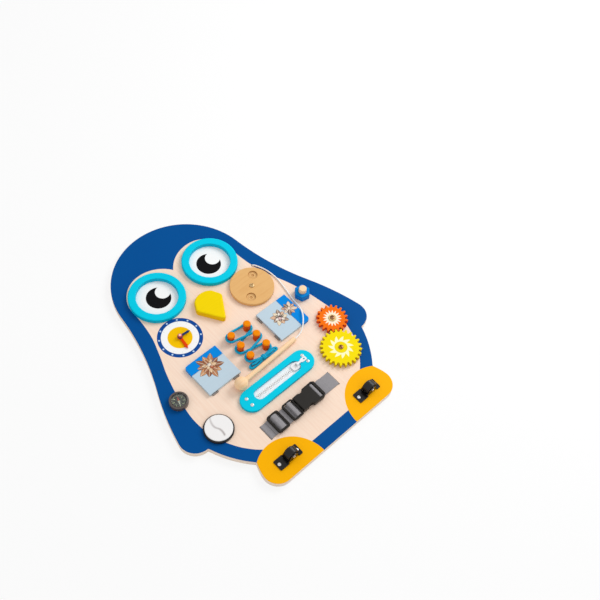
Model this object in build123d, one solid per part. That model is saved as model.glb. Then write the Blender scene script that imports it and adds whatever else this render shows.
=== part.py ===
from build123d import *
import os
from math import acos, asin, atan2, cos, hypot, pi, radians, sin, sqrt, tan

# Busy board shaped as a penguin. It lies on its back: the printed face looks up (+Z),
# the head is towards +Y. Heights on the face count from the board's bottom edge.

# Board
board_height = 370.0
board_thickness = 8.0
board_edge_round = 0.8
inside_corner_round = 2.0
head_radius = 92.6
head_end_angle = 6.0
flank_end = (121.5, 180.8)
wing_side = (144.6, 112.3)
wing_notch = (123.2, 87.3)
leg_bulge = 2.9
leg_foot = (93.7, 39.4)
foot_side = (98.9, 22.0)
foot_flat_x = 80.0

# Eye rings and beak
eye_x = 42.1
eye_y = 281.0
ring_outer_radius = 35.7
ring_inner_radius = 26.0
ring_height = 6.0
ring_outer_round = 1.8
ring_inner_round = 1.0
beak_tip_y = 199.6
beak_height = 49.6
beak_half_width = 20.4
beak_shoulder = 32.0
beak_top_half_width = 14.0
beak_top_drop = 5.6
beak_thickness = 8.0
beak_corner_round = 5.0
beak_tip_round = 3.2
beak_edge_round = 2.2

# Clock
clock_at = (-56.0, 219.5)
hand_thickness = 1.6
hand_gap = 0.3
hand_hub_radius = 3.2
hour_hand_length = 14.0
hour_hand_width = 3.4
hour_hand_angle = -5.0
minute_hand_length = 18.2
minute_hand_width = 4.8
minute_hand_angle = -98.0
clock_pin_radius = 1.3
clock_pin_head_radius = 2.7
clock_pin_head_height = 1.8
clock_pin_head_round = 1.26

# Fits
running_clearance = 0.08
insert_clearance = 0.03
seat_gap = 0.2
fastener_depth = 5.0

# Turning disc
disc_at = (57.8, 217.7)
disc_radius = 28.0
disc_thickness = 4.0
disc_edge_round = 0.6
dimple_radius = 5.8
dimple_depth = 1.6
dimple_offset = 16.7
dimple_angle = 45.0
dimple_eye_radius = 1.5
dimple_eye_depth = 1.0

# Small screws of the zipper frame and the roller brackets
small_screw_radius = 1.4
small_head_radius = 2.1
small_head_height = 0.8
head_bevel_share = 0.5

# Pivot screws and washers of the disc and gears
pivot_screw_radius = 1.7
pivot_head_radius = 3.0
pivot_head_height = 1.5
washer_radius = 5.0
washer_thickness = 0.6
cup_washer_radius = 4.8
cup_washer_height = 1.2
cup_washer_bevel = 0.7

# Picture flaps
panel_x = 56.5
panel_y = 158.7
panel_size = 47.0
panel_thickness = 4.0
panel_strip = 14.0
panel_gap = 0.4
panel_corner_round = 4.0
flap_lift = 0.15
hinge_pitch = 32.0
hinge_leaf_length = 8.0
hinge_leaf_width = 6.0
hinge_leaf_thickness = 0.5
hinge_knuckle_radius = 1.2
hinge_knuckle_length = 3.0
hinge_pin_radius = 0.5
hinge_out = 0.6
hinge_axis_height = 0.7
hinge_end_gap = 0.15

# Lacing
post_column_x = 12.5
post_rows = (141.6, 159.0, 176.4)
post_height = 14.0
post_neck_radius = 4.0
post_head_radius = 4.7
post_head_height = 4.0
post_head_round = 1.2
post_foot_radius = 3.0
lace_diameter = 3.2
lace_gap = 0.3
lace_low_height = 2.6
lace_high_height = 6.2
lace_in_knot = 0.3
knot_at = (0.5, 132.1)
knot_length = 5.0
knot_core_radius = 2.4
knot_wrap_radius = 4.0
bow_height = 2.0
bow_length = 21.0
bow_spread = 2.4
bow_tilt = 0.3
bow_root = (0.6, 0.8, 1.2)
tail_length = 17.0
tail_height = 4.9
tail_sway = 0.8

# Hex nut on its wooden stud
nut_at = (98.4, 168.9)
nut_corner_radius = 10.3
nut_height = 9.0
nut_turn = 49.0
nut_edge_round = 1.0
stud_radius = 4.85
stud_height = 15.5
stud_end_round = 1.0

# Zipper
zip_at = (-7.5, 98.9)
zip_frame_length = 109.0
zip_frame_width = 29.4
zip_frame_thickness = 4.0
zip_frame_round = 0.8
zip_slot_length = 70.0
zip_slot_width = 14.2
zip_screw_spacing_x = 88.6
zip_screw_spacing_y = 10.0
tape_length = 78.0
tape_width = 7.0
tape_thickness = 0.7
tape_pocket_gap = 0.2
tooth_pitch = 2.5
tooth_width = 1.2
tooth_reach = 1.1
tooth_height = 2.0
row_gap = 0.6
bead_width = 0.8
stop_length = 1.5
stop_to_slot_end = 1.0
slider_length = 11.0
slider_width = 9.4
slider_plate = 1.2
slider_clearance = 0.2
slider_flange = 1.1
slider_corner = 2.8
slider_end_gap = 0.5
divider_width = 0.25
divider_length = 3.0
lug_thickness = 0.9
lug_length = 3.6
lug_offset = 0.7
tab_length = 14.0
tab_width = 5.2
tab_thickness = 1.2
tab_knuckle_width = 2.4
tab_knuckle_radius = 1.14
tab_neck_length = 4.9
tab_flare_length = 7.7
tab_hole_x = 10.9
tab_hole_length = 2.6
tab_hole_width = 1.6
tab_pin_radius = 0.6
tab_over_frame = 0.3

# Webbing and buckle
buckle_y = 58.6
webbing_width = 20.0
webbing_thickness = 1.2
webbing_lift = 0.1
webbing_bend = 1.2
buckle_bend = 0.9
left_slot_x = -62.0
right_slot_x = 45.3
slot_clearance = 1.0
strap_side_gap = 0.4
strap_before_glide = 2.5
strap_past_male = 4.8
glide_slope = (3.4, 0.4)
male_slope = (1.5, 0.7)
glide_x = -43.5
glide_length = 17.0
glide_width = 25.0
glide_thickness = 2.8
glide_bar = 3.6
glide_bar_height = 2.2
glide_rim = 2.4
glide_corner = 3.0
male_end_x = -29.0
male_width = 24.0
male_thickness = 3.0
male_rim = 2.4
male_near_slot = 5.5
male_bar = 2.6
male_bar_height = 2.4
male_far_slot = 3.7
male_shoulder = 2.0
arm_width = 1.9
arm_waist = 0.6
arm_step = 1.2
arm_neck = 2.0
arm_nose = 4.0
arm_nose_in = 2.4
arm_nose_tip = 0.8
arm_window_gap = 0.5
arm_head_width = 3.4
arm_spread = 8.3
tongue_width = 4.4
prong_length = 19.8
female_end_x = 21.6
female_length = 33.9
female_width = 24.6
female_mouth_width = 20.4
female_thickness = 6.6
female_wall = 1.7
female_slot = 5.2
female_corner = 2.2
mouth_flare = 0.3
notch_depth = 1.2
notch_inset = 0.4
female_rim = 3.2
cavity_width = 17.2
window_length = 8.0
window_from_mouth = 8.0
buckle_edge_round = 0.8
strap_bar_width = 1.8
strap_bar_height = 4.4
sewn_tail = 9.0

# Compass and mirror
compass_at = (-111.6, 153.2)
compass_radius = 11.5
compass_height = 6.0
compass_dial_radius = 8.2
compass_floor = 1.4
compass_rim_round = 1.4
card_thickness = 0.5
needle_length = 13.0
needle_width = 2.6
needle_thickness = 0.4
needle_height = 3.3
needle_angle = 70.0
pivot_radius = 0.5
pivot_tip = 0.3
lens_thickness = 0.8
lens_ledge = 0.8
lens_recess = 0.3
mirror_at = (-99.3, 97.3)
mirror_backing_radius = 17.9
mirror_backing_height = 4.0
mirror_bevel = 1.2
mirror_radius = 16.3
mirror_thickness = 1.0
mirror_edge = 0.6

# Gears
gear_module = 2.0
gear_thickness = 5.0
yellow_teeth = 24
orange_teeth = 18
yellow_at = (79.7, 80.8)
mesh_angle = 60.1
mesh_slack = 0.15
pressure_angle = 20.0
tooth_tip = 1.75
tooth_root = 2.05
tooth_backlash = 0.3
tooth_crown = 0.8

# Rollers in the feet
roller_x = 63.4
roller_y = 20.5
plate_length = 33.5
plate_width = 14.0
plate_thickness = 1.0
plate_corner = 1.5
plate_screw_x = 13.2
wheel_offset = 3.6
wheel_radius = 8.0
wheel_width = 8.6
wheel_axis_height = 6.4
wheel_gap = 0.4
wheel_edge_round = 0.8
cheek_thickness = 1.0
cheek_top_radius = 5.4
cheek_foot = 17.0
cheek_shoulder = 25.0
cheek_window = 8.0
cheek_window_gap = 0.3
plate_waist = 15.0
hub_radius = 3.6
hub_recess = 0.5
hub_groove = 1.2
axle_radius = 1.2
axle_head_radius = 2.0
axle_head = 0.7
well_depth = 2.2

# Mallet and its tether
ball_at = (-44.5, 121.4)
ball_radius = 8.25
stick_radius = 3.0
stick_tip = (46.0, 126.8)
mallet_gap = 0.15
tether_diameter = 1.8
tether_hole = (81.0, 243.4)
tether_hole_radius = 1.4

# Worked out from the sizes above
orange_at = (
    yellow_at[0] + (gear_module * (yellow_teeth + orange_teeth) / 2 + mesh_slack) * cos(radians(mesh_angle)),
    yellow_at[1] + (gear_module * (yellow_teeth + orange_teeth) / 2 + mesh_slack) * sin(radians(mesh_angle)),
)
slider_rest = zip_slot_length / 2 - slider_end_gap - slider_length / 2
webbing_top = webbing_lift + webbing_thickness
return_level = webbing_top + seat_gap + webbing_thickness / 2
hardware_base = return_level + webbing_thickness / 2 + seat_gap


def on_board(x, y, lift=0.0):
    return Location((x, y - board_height / 2, board_thickness + lift))


def cylinder(radius, low, high):
    return Pos(0, 0, low) * Cylinder(radius, high - low, align=(Align.CENTER, Align.CENTER, Align.MIN))


def box(x0, x1, y0, y1, z0, z1):
    return Pos(x0, y0, z0) * Box(x1 - x0, y1 - y0, z1 - z0, align=(Align.MIN, Align.MIN, Align.MIN))


def top_edges(part):
    return part.edges().group_by(Axis.Z)[-1]


def ribbon(points, bend):
    # Webbing that follows points in the XZ plane, as wide as the webbing.
    with BuildPart() as made:
        with BuildSketch(Plane.XZ):
            with BuildLine():
                FilletPolyline(*points, radius=bend)
            trace(line_width=webbing_thickness)
        extrude(amount=webbing_width / 2, both=True)
    return made.part


def braid(path):
    # The lace is modelled eight-sided.
    section = RegularPolygon(lace_diameter / 2, 8)
    return sweep(Plane(path @ 0, z_dir=path % 0) * section, path=path)


def smooth_path(points):
    # Straight runs joined by arcs as large as the runs allow.
    radii = []
    for before, here, after in zip(points, points[1:], points[2:]):
        first, second = Vector(*here) - Vector(*before), Vector(*after) - Vector(*here)
        turn = radians(first.get_angle(second))
        radii.append(0.45 * min(first.length, second.length) / tan(turn / 2))
    print("radii", [round(r, 1) for r in radii])
    return FilletPolyline(*points, radius=radii)


def cord(points, diameter):
    path = smooth_path(points)
    tube = sweep(Plane(path @ 0, z_dir=path % 0) * Circle(diameter / 2), path=path)
    share = tube.volume / (path.length * pi * diameter ** 2 / 4)
    print("cord length", round(path.length, 1), "volume over section times length", round(share, 4))
    return tube


def board_outline():
    head_y = board_height - head_radius
    with BuildSketch() as outline:
        with BuildLine():
            head = CenterArc((0, head_y), head_radius, head_end_angle, 90 - head_end_angle)
            flank = TangentArc(head @ 0, flank_end, tangent=(head % 0) * -1)
            wing = TangentArc(flank_end, wing_side, tangent=flank % 1)
            TangentArc(wing_side, wing_notch, tangent=wing % 1)
            RadiusArc(wing_notch, leg_foot, leg_radius())
            foot = TangentArc((foot_flat_x, 0), foot_side, tangent=(1, 0))
            TangentArc(foot_side, leg_foot, tangent=foot % 1)
            Line((0, 0), (foot_flat_x, 0))
            mirror(about=Plane.YZ)
        make_face()
        for x, y in (wing_notch, leg_foot):
            for side in (-1, 1):
                fillet(outline.vertices().sort_by_distance((side * x, y))[0], inside_corner_round)
    return Pos(0, -board_height / 2) * outline.sketch


def leg_radius():
    chord = hypot(wing_notch[0] - leg_foot[0], wing_notch[1] - leg_foot[1])
    return (chord ** 2 / 4 + leg_bulge ** 2) / (2 * leg_bulge)


def board():
    plate = extrude(board_outline(), board_thickness)
    plate = fillet(top_edges(plate), board_edge_round)
    for x in (left_slot_x, right_slot_x):
        half = (webbing_thickness + slot_clearance) / 2
        reach = (webbing_width + slot_clearance) / 2
        plate -= on_board(x, buckle_y) * box(-half, half, -reach, reach, -2 * board_thickness, 1)
    plate -= on_board(*zip_at) * zip_groove()
    plate -= on_board(*tether_hole) * cylinder(tether_hole_radius, -fastener_depth, 1)
    for side in (-1, 1):
        plate -= roller_place(side) * wheel_well()
        for place in hinge_places(side):
            plate -= place * hinge_recess()
        for row in post_rows:
            plate -= on_board(side * post_column_x, row) * cylinder(post_foot_radius, -fastener_depth, 1)
        for x in (-plate_screw_x, plate_screw_x):
            plate -= roller_place(side) * Pos(x, 0, 0) * cylinder(small_screw_radius, -fastener_depth, 1)
    plate -= on_board(*nut_at) * cylinder(stud_radius, -fastener_depth, 1)
    plate -= on_board(*clock_at) * cylinder(clock_pin_radius, -fastener_depth, 1)
    for place in (disc_at, yellow_at, orange_at):
        plate -= on_board(*place) * cylinder(pivot_screw_radius, -fastener_depth, 1)
    for place in zip_screw_places():
        plate -= place * cylinder(small_screw_radius, -fastener_depth, 1)
    return plate


def eye_ring(side):
    ring = cylinder(ring_outer_radius, 0, ring_height) - cylinder(ring_inner_radius, -1, ring_height + 1)
    rims = top_edges(ring).sort_by(SortBy.RADIUS)
    ring = fillet(rims[-1], ring_outer_round)
    ring = fillet(top_edges(ring).sort_by(SortBy.RADIUS)[0], ring_inner_round)
    return on_board(side * eye_x, eye_y) * ring


def beak():
    top = beak_height
    with BuildSketch() as outline:
        with BuildLine():
            Polyline((-beak_top_half_width, top - beak_top_drop), (-beak_half_width, beak_shoulder),
                     (0, 0), (beak_half_width, beak_shoulder), (beak_top_half_width, top - beak_top_drop))
            ThreePointArc((-beak_top_half_width, top - beak_top_drop), (0, top),
                          (beak_top_half_width, top - beak_top_drop))
        make_face()
        corners = outline.vertices().sort_by(Axis.Y)
        fillet(corners[0], beak_tip_round)
        fillet(outline.vertices().filter_by(lambda v: v.Y > beak_shoulder / 2), beak_corner_round)
    solid = extrude(outline.sketch, beak_thickness)
    return on_board(0, beak_tip_y) * fillet(top_edges(solid), beak_edge_round)


def clock_hand(length, width, angle, level):
    with BuildSketch() as shape:
        Circle(hand_hub_radius)
        Polygon((0, -width / 3), (length - width, -width / 3), (length - width, -width / 2), (length, 0),
                (length - width, width / 2), (length - width, width / 3), (0, width / 3), align=None)
        Circle(clock_pin_radius + running_clearance, mode=Mode.SUBTRACT)
    hand = extrude(shape.sketch, hand_thickness)
    return on_board(*clock_at, level) * Rot(0, 0, angle) * hand


def clock_pin():
    head_base = 3 * hand_gap + 2 * hand_thickness
    pin = cylinder(clock_pin_radius, -fastener_depth, head_base)
    head = cylinder(clock_pin_head_radius, head_base, head_base + clock_pin_head_height)
    head = fillet(top_edges(head), clock_pin_head_round)
    return on_board(*clock_at) * (pin + head)


def spin_disc():
    disc = cylinder(disc_radius, 0, disc_thickness)
    disc = fillet(top_edges(disc), disc_edge_round)
    for turn in (0, 180):
        spot = Rot(0, 0, dimple_angle + turn) * Pos(dimple_offset, 0, disc_thickness)
        disc -= spot * cylinder(dimple_radius, -dimple_depth, 1)
        disc -= spot * cylinder(dimple_eye_radius, -dimple_depth - dimple_eye_depth, 0)
    disc -= cylinder(pivot_screw_radius + running_clearance, -1, disc_thickness + 1)
    return on_board(*disc_at, washer_thickness + seat_gap) * disc


def pivot_washer(place):
    ring = cylinder(washer_radius, 0, washer_thickness)
    ring -= cylinder(pivot_screw_radius, -1, washer_thickness + 1)
    return on_board(*place) * ring


def pan_screw(radius, head_radius, head_height, base, depth):
    # A screw whose head starts at base.
    head = cylinder(head_radius, base, base + head_height)
    return cylinder(radius, -depth, base) + chamfer(top_edges(head), head_height * head_bevel_share)


def pivot_screws():
    # The orange gear's screw also clamps its cup washer.
    for place, held in ((disc_at, disc_thickness), (yellow_at, gear_thickness),
                        (orange_at, gear_thickness + cup_washer_height)):
        base = washer_thickness + held + 2 * seat_gap
        yield on_board(*place) * pan_screw(pivot_screw_radius, pivot_head_radius, pivot_head_height,
                                           base, fastener_depth)


def panel_place(side):
    # Local Y runs from the hinges to the fixed strip.
    turn = 0 if side < 0 else -90
    return on_board(side * panel_x, panel_y) * Rot(0, 0, turn)


def hinge_places(side):
    for along in (-hinge_pitch / 2, hinge_pitch / 2):
        yield panel_place(side) * Pos(along, -panel_size / 2 - hinge_out, hinge_axis_height)


def hinge_recess():
    # Room in the board for the fixed leaf and the lower part of the barrel.
    half = hinge_leaf_length / 2
    low = -hinge_axis_height - hinge_leaf_thickness
    barrel = hinge_knuckle_radius + hinge_end_gap
    leaf = box(-half, half, 0, hinge_leaf_width, low, 0)
    return leaf + box(-half - hinge_end_gap, half + hinge_end_gap, -barrel, barrel, low - hinge_end_gap, 2)


def hinge_fixed():
    # Leaf in the board, its two outer knuckles and the pin, about the hinge axis.
    half = hinge_leaf_length / 2
    low = -hinge_axis_height - hinge_leaf_thickness
    leaf = box(-half, half, 0, hinge_leaf_width, low, -hinge_axis_height)
    barrel = Rot(0, 90, 0) * Cylinder(hinge_knuckle_radius, hinge_leaf_length)
    middle = hinge_knuckle_length / 2 + hinge_end_gap
    bore = hinge_knuckle_radius + hinge_end_gap
    room = box(-middle, middle, -bore, bore, -bore, bore)
    pin = Rot(0, 90, 0) * Cylinder(hinge_pin_radius, hinge_leaf_length)
    return leaf + barrel - room + pin


def hinge_moving():
    # Leaf let into the flap's underside, with the middle knuckle.
    half = hinge_leaf_length / 2
    low = flap_lift - hinge_axis_height
    leaf = box(-half, half, hinge_knuckle_radius + 2 * hinge_end_gap, hinge_leaf_width, low,
               low + hinge_leaf_thickness)
    middle = hinge_knuckle_length / 2
    neck = box(-middle, middle, 0, hinge_leaf_width, low, low + hinge_leaf_thickness)
    knuckle = Rot(0, 90, 0) * Cylinder(hinge_knuckle_radius, hinge_knuckle_length)
    hole = Rot(0, 90, 0) * Cylinder(hinge_pin_radius + running_clearance, hinge_knuckle_length + 1)
    return leaf + neck + knuckle - hole


def flap(side):
    half = panel_size / 2
    low = -hinge_axis_height + flap_lift
    plate = box(-half, half, -half, half - panel_strip - panel_gap, flap_lift, flap_lift + panel_thickness)
    leaf_half = hinge_leaf_length / 2 + hinge_end_gap
    barrel = hinge_knuckle_radius + 2 * hinge_end_gap
    for along in (-hinge_pitch / 2, hinge_pitch / 2):
        spot = Pos(along, -half - hinge_out, hinge_axis_height)
        plate -= spot * box(-leaf_half, leaf_half, -barrel, barrel, low - 1, barrel)
        plate -= spot * box(-hinge_leaf_length / 2, hinge_leaf_length / 2, 0, hinge_leaf_width,
                            low - 1, low + hinge_leaf_thickness)
    return panel_place(side) * plate


def flap_strip(side):
    half = panel_size / 2
    strip = box(-half, half, half - panel_strip, half, 0, panel_thickness + flap_lift)
    corner = strip.edges().filter_by(Axis.Z).group_by(Axis.Y)[-1].sort_by(Axis.X)[0 if side < 0 else -1]
    return panel_place(side) * fillet(corner, panel_corner_round)


def lacing_post(side, row):
    neck_top = post_height - post_head_height
    post = cylinder(post_neck_radius, 0, neck_top) + cylinder(post_head_radius, neck_top, post_height)
    post = chamfer(top_edges(post), post_head_round)
    return on_board(side * post_column_x, row) * (post + cylinder(post_foot_radius, -fastener_depth, 0))


def tangent_run(start, end, radius, start_side, end_side):
    # Straight run between two posts. A side of 1 keeps the post on the left of the run,
    # -1 on the right, and 0 starts or ends at the point itself.
    dx, dy = end[0] - start[0], end[1] - start[1]
    across = (start_side - end_side) * radius
    heading = atan2(dy, dx) - asin(across / hypot(dx, dy)) * -1
    normal = (sin(heading), -cos(heading))
    leave = (start[0] + start_side * radius * normal[0], start[1] + start_side * radius * normal[1])
    reach = (end[0] + end_side * radius * normal[0], end[1] + end_side * radius * normal[1])
    return leave, reach


def wrapped_path(stops, radius, level):
    # Lines and arcs of a strand that passes round posts, all at one level.
    runs = [tangent_run(a[0], b[0], radius, a[1], b[1]) for a, b in zip(stops, stops[1:])]
    edges = []
    for index, (leave, reach) in enumerate(runs):
        edges.append(Line((*leave, level), (*reach, level)))
        if index + 1 < len(runs):
            centre = stops[index + 1][0]
            nxt = runs[index + 1][0]
            out = Vector(reach[0] + nxt[0] - 2 * centre[0], reach[1] + nxt[1] - 2 * centre[1]).normalized()
            middle = (centre[0] + radius * out.X, centre[1] + radius * out.Y, level)
            edges.append(ThreePointArc((*reach, level), middle, (*nxt, level)))
    return edges


def lace():
    wrap = post_neck_radius + lace_gap + lace_diameter / 2
    low, middle, high = post_rows
    right, left = post_column_x, -post_column_x
    top_y = high + wrap
    knot_right = (knot_at[0] + knot_length / 2 - lace_in_knot, knot_at[1])
    knot_left = (knot_at[0] - knot_length / 2 + lace_in_knot, knot_at[1])
    up = wrapped_path([(knot_right, 0), ((right, low), 1), ((left, middle), -1), ((right, high), 1),
                       ((right / 2, top_y), 0)], wrap, lace_low_height)
    down = wrapped_path([((left / 2, top_y), 0), ((left, high), 1), ((right, middle), -1), ((left, low), 1),
                         (knot_left, 0)], wrap, lace_high_height)
    climb = FilletPolyline((right / 2, top_y, lace_low_height), (right / 4, top_y, lace_low_height),
                           (left / 4, top_y, lace_high_height), (left / 2, top_y, lace_high_height),
                           radius=lace_diameter * 3)
    path = Wire(Curve(up + [climb] + down).edges())
    print("lace length", round(path.length, 1))
    return on_board(0, 0) * braid(path)


def lace_bow():
    x, y = knot_at
    level = (lace_low_height + lace_high_height) / 2
    knot = extrude(Plane.YZ * RegularPolygon(knot_core_radius, 8), knot_length / 2, both=True)
    knot += extrude(Plane.YZ * RegularPolygon(knot_wrap_radius, 8), lace_diameter / 2, both=True)
    bow = Pos(x, y, level) * knot
    for side in (-1, 1):
        for across in (-1, 1):
            root_x, root_y, root_rise = bow_root
            reach = [(x + side * root_x, y + across * root_y, bow_height + root_rise),
                     (x + side * bow_length * 0.3, y + across * bow_spread, bow_height),
                     (x + side * bow_length * 0.78, y + across * bow_spread, bow_height),
                     (x + side * bow_length, y + across * bow_spread * 0.75, bow_height),
                     (x + side * bow_length, y, bow_height)]
            bow += Pos(0, side * bow_tilt, 0) * braid(smooth_path(reach))
        tail = [(x + side * bow_root[0], y, level), (x + side * tail_length * 0.35, y, tail_height),
                (x + side * tail_length * 0.7, y + side * tail_sway / 2, tail_height),
                (x + side * tail_length, y - side * tail_sway, tail_height - tail_sway / 2)]
        bow += braid(smooth_path(tail))
    return on_board(0, 0) * bow - lace()


def stud():
    top = fillet(top_edges(cylinder(stud_radius, 0, stud_height)), stud_end_round)
    return on_board(*nut_at) * (top + cylinder(stud_radius, -fastener_depth, 0))


def hex_nut():
    hexagon = extrude(RegularPolygon(nut_corner_radius, 6), nut_height)
    hexagon = fillet(top_edges(hexagon), nut_edge_round)
    hexagon -= cylinder(stud_radius + running_clearance, -1, nut_height + 1)
    return on_board(*nut_at, seat_gap) * Rot(0, 0, nut_turn) * hexagon


def stadium(length, width, low, high):
    return Pos(0, 0, low) * extrude(SlotOverall(length, width), high - low)


def slider_levels():
    # Undersides and tops of the slider's plates: the chain runs between them.
    middle = tape_thickness / 2
    half = tooth_height / 2 + slider_clearance
    return middle - half - slider_plate, middle - half, middle + half, middle + half + slider_plate


def zip_groove():
    # Room in the board for the lower half of the chain and the slider.
    low = slider_levels()[0] - slider_clearance
    reach = slider_width / 2 + slider_clearance * 2
    return box(-zip_slot_length / 2, zip_slot_length / 2, -reach, reach, low, 1)


def zip_frame():
    frame = stadium(zip_frame_length, zip_frame_width, 0, zip_frame_thickness)
    frame = fillet(top_edges(frame), zip_frame_round)
    frame -= stadium(zip_slot_length, zip_slot_width, -1, zip_frame_thickness + 1)
    pocket_y = tape_inner() + tape_width + tape_pocket_gap
    pocket_x = tape_length / 2 + tape_pocket_gap
    frame -= box(-pocket_x, pocket_x, -pocket_y, pocket_y, -1, tape_thickness + tape_pocket_gap / 2)
    for x in (-zip_screw_spacing_x / 2, zip_screw_spacing_x / 2):
        for y in (-zip_screw_spacing_y / 2, zip_screw_spacing_y / 2):
            frame -= Pos(x, y, 0) * cylinder(small_screw_radius, -1, zip_frame_thickness + 1)
    return on_board(*zip_at) * frame


def zip_screw_places():
    for x in (-zip_screw_spacing_x / 2, zip_screw_spacing_x / 2):
        for y in (-zip_screw_spacing_y / 2, zip_screw_spacing_y / 2):
            yield on_board(zip_at[0] + x, zip_at[1] + y)


def small_screw(place, base):
    return place * pan_screw(small_screw_radius, small_head_radius, small_head_height, base, fastener_depth)


def tape_inner():
    return row_gap / 2 + tooth_reach + bead_width


def zip_tape(side):
    inner, outer = tape_inner(), tape_inner() + tape_width
    low_y, high_y = (inner, outer) if side > 0 else (-outer, -inner)
    return on_board(*zip_at) * box(-tape_length / 2, tape_length / 2, low_y, high_y, 0, tape_thickness)


def tooth_count():
    return int((zip_slot_length - 2 * (stop_length + stop_to_slot_end)) / tooth_pitch)


def chain_half_length():
    return tooth_count() * tooth_pitch / 2


def zip_row(side):
    # One row of teeth on its bead, which grips the tape's edge.
    half = chain_half_length()
    inner, root = row_gap / 2, row_gap / 2 + tooth_reach
    low = tape_thickness / 2 - tooth_height / 2
    with BuildSketch() as comb:
        with Locations((0, root + bead_width / 2)):
            Rectangle(2 * half, bead_width)
        shift = tooth_pitch / 4 * side
        for index in range(tooth_count()):
            x = -half + (index + 0.5) * tooth_pitch + shift
            with Locations((x, inner + tooth_reach / 2)):
                Rectangle(tooth_width, tooth_reach)
    row = Pos(0, 0, low) * extrude(comb.sketch, tooth_height)
    return on_board(*zip_at) * (row if side > 0 else row.mirror(Plane.XZ))


def zip_stops():
    # One stop joins both rows at the open end; each row has its own at the closed end.
    outer, low, edge = tape_inner(), tape_thickness / 2 - tooth_height / 2, chain_half_length()
    inner, high = row_gap / 2, low + tooth_height
    yield on_board(*zip_at) * box(-edge - stop_length, -edge, -outer, outer, low, high)
    yield on_board(*zip_at) * box(edge, edge + stop_length, inner, outer, low, high)
    yield on_board(*zip_at) * box(edge, edge + stop_length, -outer, -inner, low, high)


def tab_axis_height():
    return zip_frame_thickness + tab_over_frame + tab_thickness / 2


def zip_slider():
    low, low_in, high_in, high = slider_levels()
    half_x, half_y = slider_length / 2, slider_width / 2

    def plate(z0, z1):
        return Pos(0, 0, z0) * extrude(RectangleRounded(slider_length, slider_width, slider_corner), z1 - z0)

    body = plate(low, low_in) + plate(high_in, high)
    flange_in = half_y - slider_flange
    for side in (-1, 1):
        y0, y1 = sorted((side * flange_in, side * half_y))
        reach = half_x - slider_corner
        body += box(-reach, reach, y0, y1, low_in, -slider_clearance)
        body += box(-reach, reach, y0, y1, tape_thickness + slider_clearance, high_in)
    front = half_x - divider_length
    body += box(front, half_x, -divider_width / 2, divider_width / 2, low_in, high_in)
    top = tab_axis_height() + tab_pin_radius * 2
    for side in (-1, 1):
        y0 = side * (tab_knuckle_width / 2 + running_clearance)
        y1 = y0 + side * lug_thickness
        body += box(lug_offset, lug_offset + lug_length, min(y0, y1), max(y0, y1), high, top)
    pin = Rot(90, 0, 0) * Cylinder(tab_pin_radius, tab_knuckle_width + 2 * lug_thickness)
    return slider_place() * (body + tab_axis() * pin)


def tab_axis():
    return Pos(lug_offset + lug_length / 2, 0, tab_axis_height())


def slider_place():
    return on_board(zip_at[0] + slider_rest, zip_at[1])


def pull_tab():
    knuckle = Rot(90, 0, 0) * Cylinder(tab_knuckle_radius, tab_knuckle_width)
    neck, half = tab_knuckle_width / 2, tab_width / 2
    with BuildSketch() as shape:
        Polygon((0, -neck), (tab_neck_length, -neck), (tab_flare_length, -half), (tab_length, -half),
                (tab_length, half), (tab_flare_length, half), (tab_neck_length, neck), (0, neck), align=None)
        fillet(shape.vertices().group_by(Axis.X)[-1], half / 2)
        with Locations((tab_hole_x, 0)):
            SlotOverall(tab_hole_length, tab_hole_width, mode=Mode.SUBTRACT)
    blade = Pos(0, 0, -tab_thickness / 2) * extrude(shape.sketch, tab_thickness)
    bore = Rot(90, 0, 0) * Cylinder(tab_pin_radius + running_clearance, tab_knuckle_width + 1)
    return slider_place() * tab_axis() * (blade + knuckle - bore)


def left_strap():
    # The lower run: out of the slot and flat on the board to below the buckle.
    level = webbing_lift + webbing_thickness / 2
    end = male_end_x + male_rim + male_near_slot + male_bar
    run = ribbon([(left_slot_x, -fastener_depth), (left_slot_x, level), (end, level)], webbing_bend)
    return on_board(0, buckle_y) * run


def left_strap_return():
    # The upper run: over the buckle's bar and over the bar of the tri-glide.
    level = return_level
    over_glide = hardware_base + glide_bar_height + seat_gap + webbing_thickness / 2
    over_male = hardware_base + male_bar_height + seat_gap + webbing_thickness / 2
    male_left = male_end_x + male_rim + male_near_slot
    points = [(glide_x - glide_length / 2 - strap_before_glide, level)]
    for left, width, slope, over in ((glide_x - glide_bar / 2, glide_bar, glide_slope, over_glide),
                                     (male_left, male_bar, male_slope, over_male)):
        foot, top = slope
        points += [(left - foot, level), (left - top, over), (left + width + top, over),
                   (left + width + foot, level)]
    points.append((male_left + male_bar + strap_past_male, level))
    return on_board(0, buckle_y) * ribbon(points, buckle_bend)


def tri_glide():
    low, high = hardware_base, hardware_base + glide_thickness
    window_y = glide_width - 2 * glide_rim
    outer = RectangleRounded(glide_length, glide_width, glide_corner)
    frame = Pos(0, 0, low) * extrude(outer, glide_thickness)
    frame = fillet(top_edges(frame), buckle_edge_round)
    frame -= Pos(0, 0, low - 1) * extrude(
        RectangleRounded(glide_length - 2 * glide_rim, window_y, glide_corner / 3), glide_thickness + 2)
    bar = box(-glide_bar / 2, glide_bar / 2, -window_y / 2, window_y / 2, low, low + glide_bar_height)
    return on_board(glide_x, buckle_y) * (frame + bar)


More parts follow.
